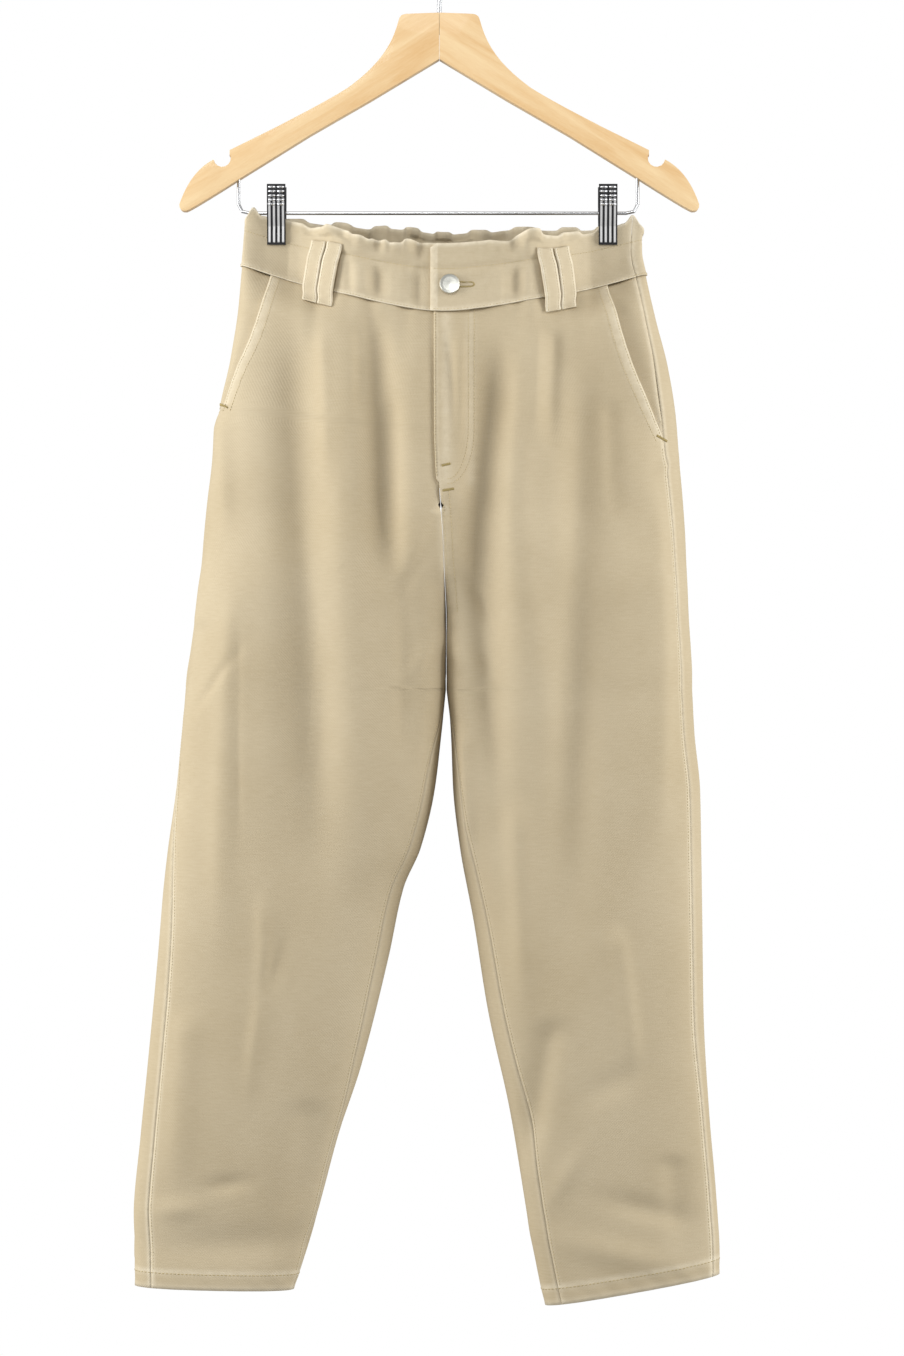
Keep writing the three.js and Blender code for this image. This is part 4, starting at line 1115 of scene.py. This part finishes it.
def inseam_lines(half):
    levels = np.arange(CROTCH - 30, HEM[half] + HEM_HEIGHT, -3.0)
    _, centre, radius, _, _ = loop_at(half, levels)
    shift = column(SEAM_SHIFT[half], "inseam", levels)
    turns = turn_at(half, levels, centre - radius + shift + 2.0)
    return [surface_line(half, levels, turns, front_lift(half))]


def fly_lines():
    """The curved double row that holds the fly, and the double row beside the centre seam."""
    lift = front_lift("left")
    lines = []
    for inset in (0.0, 5.0):
        reach, turn_in = 30.0 - inset, FLY_BOTTOM + 62 + inset
        down = np.arange(WAIST_SEAM - 2, turn_in, -2.0)
        sweep = np.linspace(0, math.pi / 2, 24)
        curve_x = 8 + (reach - 8) * np.cos(sweep)
        curve_z = turn_in - (turn_in - FLY_BOTTOM - 4 - inset) * np.sin(sweep)
        levels = np.concatenate([down, curve_z])
        x = np.concatenate([np.full(len(down), reach), curve_x])
        lines.append(surface_line("left", levels, turn_at("left", levels, x), lift))
    for away in (2.2, 8.0):
        levels = np.arange(FLY_BOTTOM - 4, CROTCH + 66, -2.0)
        x = loop_at("left", levels)[0] + away
        lines.append(surface_line("left", levels, turn_at("left", levels, x), lift))
    edge = np.arange(WAIST_SEAM - 3, FLY_BOTTOM + 12, -2.0)
    x = loop_at("left", edge)[0] - FLY_LAP + 2.0
    lines.append(surface_line("left", edge, turn_at("left", edge, x), lift))
    return lines


front_parts, back_parts, facing_parts = {}, {}, {}
for half in SIDE:
    front_parts[half] = front_panel(half)
    back_parts[half] = back_panel(half)
    facing_parts[half] = pocket_facing(half)
    stitches = [
        stitched(f"topstitch_{half}", seam_lines(half) + inseam_lines(half)),
        stitched(f"hem_stitch_{half}", hem_lines(half), pitch=3.4, length=2.6, width=0.5, paint=THREAD_DARK),
    ]
    if half == "left":
        stitches.append(stitched("fly_stitch", fly_lines()))
    declare(front_parts[half][0], f"front_{half}", *front_parts[half][1:], extra=stitches)
    declare(back_parts[half][0], f"back_{half}", *back_parts[half][1:])
    declare(facing_parts[half][0], f"pocket_facing_{half}", *facing_parts[half][1:])

# ---------------------------------------------------------------- waistband

TAB_LIFT = BAND_WALL + 0.9
BUTTON_X = 9
BUTTON_LEVEL = -280


def tab_lift(x, z, level, front):
    raised = TAB_LIFT * (1 - ease(UNDERLAP + 2, UNDERLAP + 26, x))
    return band_lift(x, z, level, front) + np.where(front, raised, 0)


def band_levels():
    return even(FRILL_TOP, WAIST_SEAM, 1.1, FRILL_SEAM)


def tab_corner(x, level):
    """The tab's free top corner is rounded off."""
    away = x - (column(HIPS, "middle", level) - TAB_LAP)
    return 5 * np.clip(1 - away / 7, 0, 1) ** 2 * ease(FRILL_SEAM, FRILL_TOP, level)


def band_front(half, beyond, lift, name, node):
    levels = band_levels()
    outer, inner, lengths, edges = cloth_grid(
        half,
        levels,
        lambda level: outseam_turn(half, level),
        lambda level: turn_at(half, level, loop_at(half, level)[0] - beyond),
        round(190 / (STEP_X * 0.55)),
        lift,
        lambda level: BAND_WALL + 0 * level,
    )
    if half == "left":
        for points in (outer, inner):
            points[..., 2] -= tab_corner(points[..., 0], edges[2])
    level = edges[2]
    wear = near_seam(FRILL_TOP - level, 0.3) + 0.5 * near_seam(edges[1]) + 0.4 * near_seam(edges[0])
    wear = np.clip(wear + 0.8 * near_seam(level - WAIST_SEAM, 0.6) + 0.2, 0, 1)
    piece = grid_mesh(name, outer, inner, wear, CLOTH)
    declare(piece, node, lengths, levels, held="gathered", ease_in=1.2, rests_on=(f"clip_{half}_front",))
    return piece


def band_back():
    levels = band_levels()
    sides = []
    for half in ("right", "left"):
        sides.append(
            cloth_grid(
                half,
                levels,
                lambda level: outseam_turn(half, level),
                lambda level: inner_turn(half, level, False),
                round(180 / (STEP_X * 0.55)),
                band_lift,
                lambda level: BAND_WALL + 0 * level,
                gaps=(SEAM_GAP, 0),
            )
        )
    (ra, rb, rl, re), (la, lb, ll, le) = sides
    outer = np.concatenate([ra, la[:, -2::-1]], 1)
    inner = np.concatenate([rb, lb[:, -2::-1]], 1)
    level = np.concatenate([re[2], le[2][:, -2::-1]], 1)
    ends = np.concatenate([re[0], le[0][:, -2::-1]], 1)
    wear = np.clip(0.8 * near_seam(FRILL_TOP - level, 0.5) + 0.5 * near_seam(ends) + 0.25, 0, 1)
    piece = grid_mesh("shell_waistband_back", outer, inner, wear, CLOTH)
    both = ("clip_left_back", "clip_right_back")
    declare(piece, "waistband_back", rl + ll, levels, held="gathered", ease_in=1.2, rests_on=both)


band_front("left", TAB_LAP, tab_lift, "shell_waistband_left", "waistband_left")
band_front("right", UNDERLAP, band_lift, "shell_waistband_right", "waistband_right")
band_back()


def band_rows():
    """The lines of stitching through the elastic and along the waist seam."""
    rows_of = []
    for level in (FRILL_SEAM, WAIST_SEAM + 1.6):
        for half, lift, reach in (("left", tab_lift, 4 - TAB_LAP), ("right", band_lift, -TAB_LAP + 12)):
            levels = np.full(240, float(level))
            start = float(outseam_turn(half, levels)[0])
            end = float(turn_at(half, levels, loop_at(half, levels)[0] + reach)[0])
            rows_of.append(surface_line(half, levels, np.linspace(start, end, 240), lift)[2:])
        for half in SIDE:
            levels = np.full(240, float(level))
            ends = [float(f[0]) for f in (outseam_turn(half, levels), inner_turn(half, levels, False))]
            rows_of.append(surface_line(half, levels, np.linspace(*ends, 240), band_lift)[2:])
    return rows_of


stitched("waistband_stitch", band_rows(), pitch=2.8, length=2.1, width=0.5)


def button_place():
    level = np.array([float(BUTTON_LEVEL)])
    turn = turn_at("left", level, float(BUTTON_X))
    return lifted("left", level, turn, tab_lift)[0]


def buttonhole():
    """Close satin stitches round the slit beside the button, proud of the tab."""
    x0, _, z0 = button_place()
    length, height = 21.0, 2.0
    line = []
    for k in range(81):
        a = 2 * math.pi * k / 80
        x = x0 + length / 2 + (length / 2) * math.copysign(abs(math.cos(a)) ** 0.5, math.cos(a))
        z = z0 + height * math.copysign(abs(math.sin(a)) ** 0.6, math.sin(a))
        level = np.array([BUTTON_LEVEL + (z - z0)])
        y = lifted("left", level, turn_at("left", level, x), tab_lift)[0][1]
        line.append((x, y - 0.15, z))
    return line


stitched(
    "buttonhole_stitch", [buttonhole()], pitch=0.7, length=1.9, width=0.6, turn=math.pi / 2, paint=THREAD_DARK
)

# ---------------------------------------------------------------- belt loops


def loop_lift(x, z, level, front):
    on_band = ease(WAIST_SEAM - 9, WAIST_SEAM - 1, level)
    share = (LOOP_TOP - level) / (LOOP_TOP - LOOP_FOOT)
    stand = ease(0.06, 0.3, share) * (1 - ease(0.7, 0.94, share))
    under = lerp(1.35 * folds_at(x, z, front, FOLDS), BAND_PROUD, on_band)
    return under + 0.9 + LOOP_WALL + LOOP_STAND * stand


def belt_loop(loop):
    middle = (loop["top"] + loop["foot"]) / 2
    half, front = ("left" if middle > 0 else "right"), loop["face"] == "front"
    levels = np.array(even(LOOP_TOP, LOOP_FOOT, 1.6))
    sign = SIDE[half]

    def edge(reach):
        def turn(level):
            x = lerp(loop["top"], loop["foot"], (LOOP_TOP - level) / (LOOP_TOP - LOOP_FOOT))
            return turn_at(half, level, sign * x + reach, front)

        return turn

    ends = edge(LOOP_WIDTH / 2), edge(-LOOP_WIDTH / 2)
    outer, inner, lengths, edges = cloth_grid(
        half, levels, *ends, 12, loop_lift, lambda level: LOOP_WALL + 0 * level, gaps=(0, 0)
    )
    wear = np.clip(near_seam(edges[0], 0.5) + near_seam(edges[1], 0.5) + 0.2, 0, 1)
    piece = grid_mesh(f"shell_loop_{loop['name']}", outer, inner, wear, CLOTH)
    rows_of = [surface_line(half, levels, edge(r)(levels), loop_lift)[1:-1] for r in (4.4, -4.4)]
    stitches = stitched(f"loop_stitch_{loop['name']}", rows_of, pitch=2.4, length=1.8, width=0.45)
    node = f"belt_loop_{loop['name']}"
    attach(piece, "root")
    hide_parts(node)


for loop in LOOPS:
    belt_loop(loop)

# ---------------------------------------------------------------- bar tacks


def bar_tack(name, half, x, level, span, slope):
    """A short dense block of stitches across a seam's end."""
    share = np.linspace(-0.5, 0.5, 12)
    levels = level + slope * span * share
    turns = turn_at(half, levels, SIDE[half] * x + span * share)
    line = surface_line(half, levels, turns, front_lift(half), proud=0.3)
    stitched(name, [line], pitch=0.55, length=2.4, width=0.6, turn=math.pi / 2, paint=THREAD_DARK)


bar_tack("tack_mouth_left", "left", 191, -446, 9, -0.5)
bar_tack("tack_mouth_right", "right", -186, -420, 8, 0.5)
bar_tack("tack_fly_top", "left", 6, -464, 7, 0.3)
bar_tack("tack_fly_foot", "left", 8, FLY_BOTTOM - 2, 9, 0.2)

# ---------------------------------------------------------------- hanger

HANGER_TOP = -77
HANGER_THICK = 12
ROUNDING = 3.0


def bezier(a, b, c, d, count=10):
    t = np.linspace(0, 1, count + 1)[1:, None]
    a, b, c, d = map(np.array, (a, b, c, d))
    return ((1 - t) ** 3 * a + 3 * (1 - t) ** 2 * t * b + 3 * (1 - t) * t**2 * c + t**3 * d).tolist()


def arm_outline():
    """One arm, from the centre joint out to its tip and back, in x and z."""
    points = [[0.15, HANGER_TOP], [28, HANGER_TOP - 1]]
    points += bezier([28, -78], [31, -78.3], [34, -78.7], [35, -83], 5)
    points += bezier([35, -83], [41, -106], [52, -122], [79, -142])
    points += bezier([79, -142], [100, -155], [120, -165], [141, -176])
    points += [[181.5, -196], [181.5, -201]]
    for k in range(9):
        a = math.pi * lerp(0.85, 1.95, k / 8)
        points.append([188 + 7.5 * math.cos(a), -203 + 7.5 * math.sin(a)])
    points += bezier(points[-1], [211, -212], [220, -228], [225, -243])
    points += bezier([225, -243], [225.4, -247], [223, -249], [219, -248.5], 4)
    points += bezier([219, -248.5], [215.7, -247.5], [200, -238], [170, -219])
    points += [[112, -183], [59, -152.5], [0.15, -117]]
    return points


def hanger_arm(half):
    sign = SIDE[half]
    shape = bmesh.new()
    y = HANGER_THICK / 2 * MM
    ring = [shape.verts.new((sign * x * MM, -y, z * MM)) for x, z in arm_outline()]
    face = shape.faces.new(ring)
    moved = bmesh.ops.extrude_face_region(shape, geom=[face])["geom"]
    bmesh.ops.translate(
        shape, verts=[v for v in moved if isinstance(v, bmesh.types.BMVert)], vec=(0, 2 * y, 0)
    )
    bmesh.ops.recalc_face_normals(shape, faces=shape.faces)
    rims = [
        e
        for e in shape.edges
        if abs(e.verts[0].co.y - e.verts[1].co.y) < 1e-6 and abs(e.verts[0].co.x + e.verts[1].co.x) > MM
    ]
    bmesh.ops.bevel(shape, geom=rims, offset=ROUNDING * MM, segments=4, profile=0.5, affect="EDGES",
                    clamp_overlap=True)
    bmesh.ops.triangulate(shape, faces=[f for f in shape.faces if len(f.verts) > 4])
    mesh = bpy.data.meshes.new(f"arm_{half}")
    shape.to_mesh(mesh)
    shape.free()
    mesh.materials.append(WOOD[half])
    piece = bpy.data.objects.new(f"arm_{half}", mesh)
    bpy.context.collection.objects.link(piece)
    mesh.shade_smooth()
    mesh.set_sharp_from_angle(angle=math.radians(35))
    trim(piece)
    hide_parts(f"hanger_arm_{half}")


for half in SIDE:
    hanger_arm(half)


def repaint(node, paint):
    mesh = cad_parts[node].data
    mesh.materials.clear()
    mesh.materials.append(paint)


# the clip plates take the steel with painted rib reflections
for half in SIDE:
    for part, paint in (("front", CLIP_PAINTED_REFLECTION[half]), ("back", CLIP_PAINTED_REFLECTION[half]), ("spring", STEEL)):
        repaint(f"clip_{half}_{part}", paint)
repaint("hook", STEEL)
repaint("clip_bar", STEEL)
repaint("button", BUTTON_METAL)


def clip_grips(half, front):
    """The two columns of raised grips on the upper part of a clip's plate."""
    low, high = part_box(f"clip_{half}_{'front' if front else 'back'}")
    shape = bmesh.new()
    face = low.y if front else high.y
    middle = (low.x + high.x) / 2
    for across in (-1, 1):
        for row in range(5):
            made = bmesh.ops.create_cube(shape, size=1)["verts"]
            z = high.z - (2.6 + row * 3.7) * MM
            bmesh.ops.scale(shape, verts=made, vec=(6.2 * MM, 1.6 * MM, 2.2 * MM))
            bmesh.ops.translate(shape, verts=made, vec=(middle + across * 3.8 * MM, face, z))
    bmesh.ops.bevel(shape, geom=list(shape.edges), offset=0.5 * MM, segments=2, affect="EDGES")
    mesh = bpy.data.meshes.new("grips")
    shape.to_mesh(mesh)
    shape.free()
    mesh.materials.append(GRIP_STEEL)
    mesh.shade_smooth()
    piece = bpy.data.objects.new(f"grips_{half}_{'front' if front else 'back'}", mesh)
    bpy.context.collection.objects.link(piece)
    trim(piece)


for half in SIDE:
    for front in (True, False):
        clip_grips(half, front)

# ---------------------------------------------------------------- camera and light

CAMERA_AT = (11, -3000, -653)
SEEN_HEIGHT = 1176

lens = bpy.data.cameras.new("camera")
lens.sensor_fit = "VERTICAL"
lens.sensor_height = 24
lens.lens = 24 * -CAMERA_AT[1] / SEEN_HEIGHT
camera = bpy.data.objects.new("camera", lens)
camera.location = [v * MM for v in CAMERA_AT]
camera.rotation_euler = (math.pi / 2, 0, 0)
bpy.context.collection.objects.link(camera)
bpy.context.scene.camera = camera

LAMP = ("name", "place", "width", "height", "watts")
LAMPS = rows(
    LAMP,
    [
        ("left_window", (-2000, -650, -250), 1000, 2200, 46),
        ("right_window", (2000, -600, -350), 1000, 2200, 40),
        ("front_fill", (-500, -2500, 1000), 1200, 900, 20),
    ],
)
AIM = Vector((0, 0, -0.65))
for lamp in LAMPS:
    light = bpy.data.lights.new(lamp["name"], "AREA")
    light.shape = "RECTANGLE"
    light.size, light.size_y = lamp["width"] * MM, lamp["height"] * MM
    light.energy = lamp["watts"]
    stand = bpy.data.objects.new(lamp["name"], light)
    stand.location = [v * MM for v in lamp["place"]]
    stand.rotation_euler = (AIM - stand.location).to_track_quat("-Z", "Y").to_euler()
    bpy.context.collection.objects.link(stand)


def white_surroundings(ambient):
    world = bpy.data.worlds.new("white")
    world.use_nodes = True
    bpy.context.scene.world = world
    tree = world.node_tree
    path = tree.nodes.new("ShaderNodeLightPath")
    soft, seen = tree.nodes["Background"], tree.nodes.new("ShaderNodeBackground")
    soft.inputs["Color"].default_value = (1, 1, 1, 1)
    soft.inputs["Strength"].default_value = ambient
    seen.inputs["Color"].default_value = (1, 1, 1, 1)
    seen.inputs["Strength"].default_value = 1.0
    mix = tree.nodes.new("ShaderNodeMixShader")
    tree.links.new(path.outputs["Is Camera Ray"], mix.inputs[0])
    tree.links.new(soft.outputs[0], mix.inputs[1])
    tree.links.new(seen.outputs[0], mix.inputs[2])
    tree.links.new(mix.outputs[0], tree.nodes["World Output"].inputs[0])


white_surroundings(0.42)
bpy.context.scene.view_settings.view_transform = "Standard"
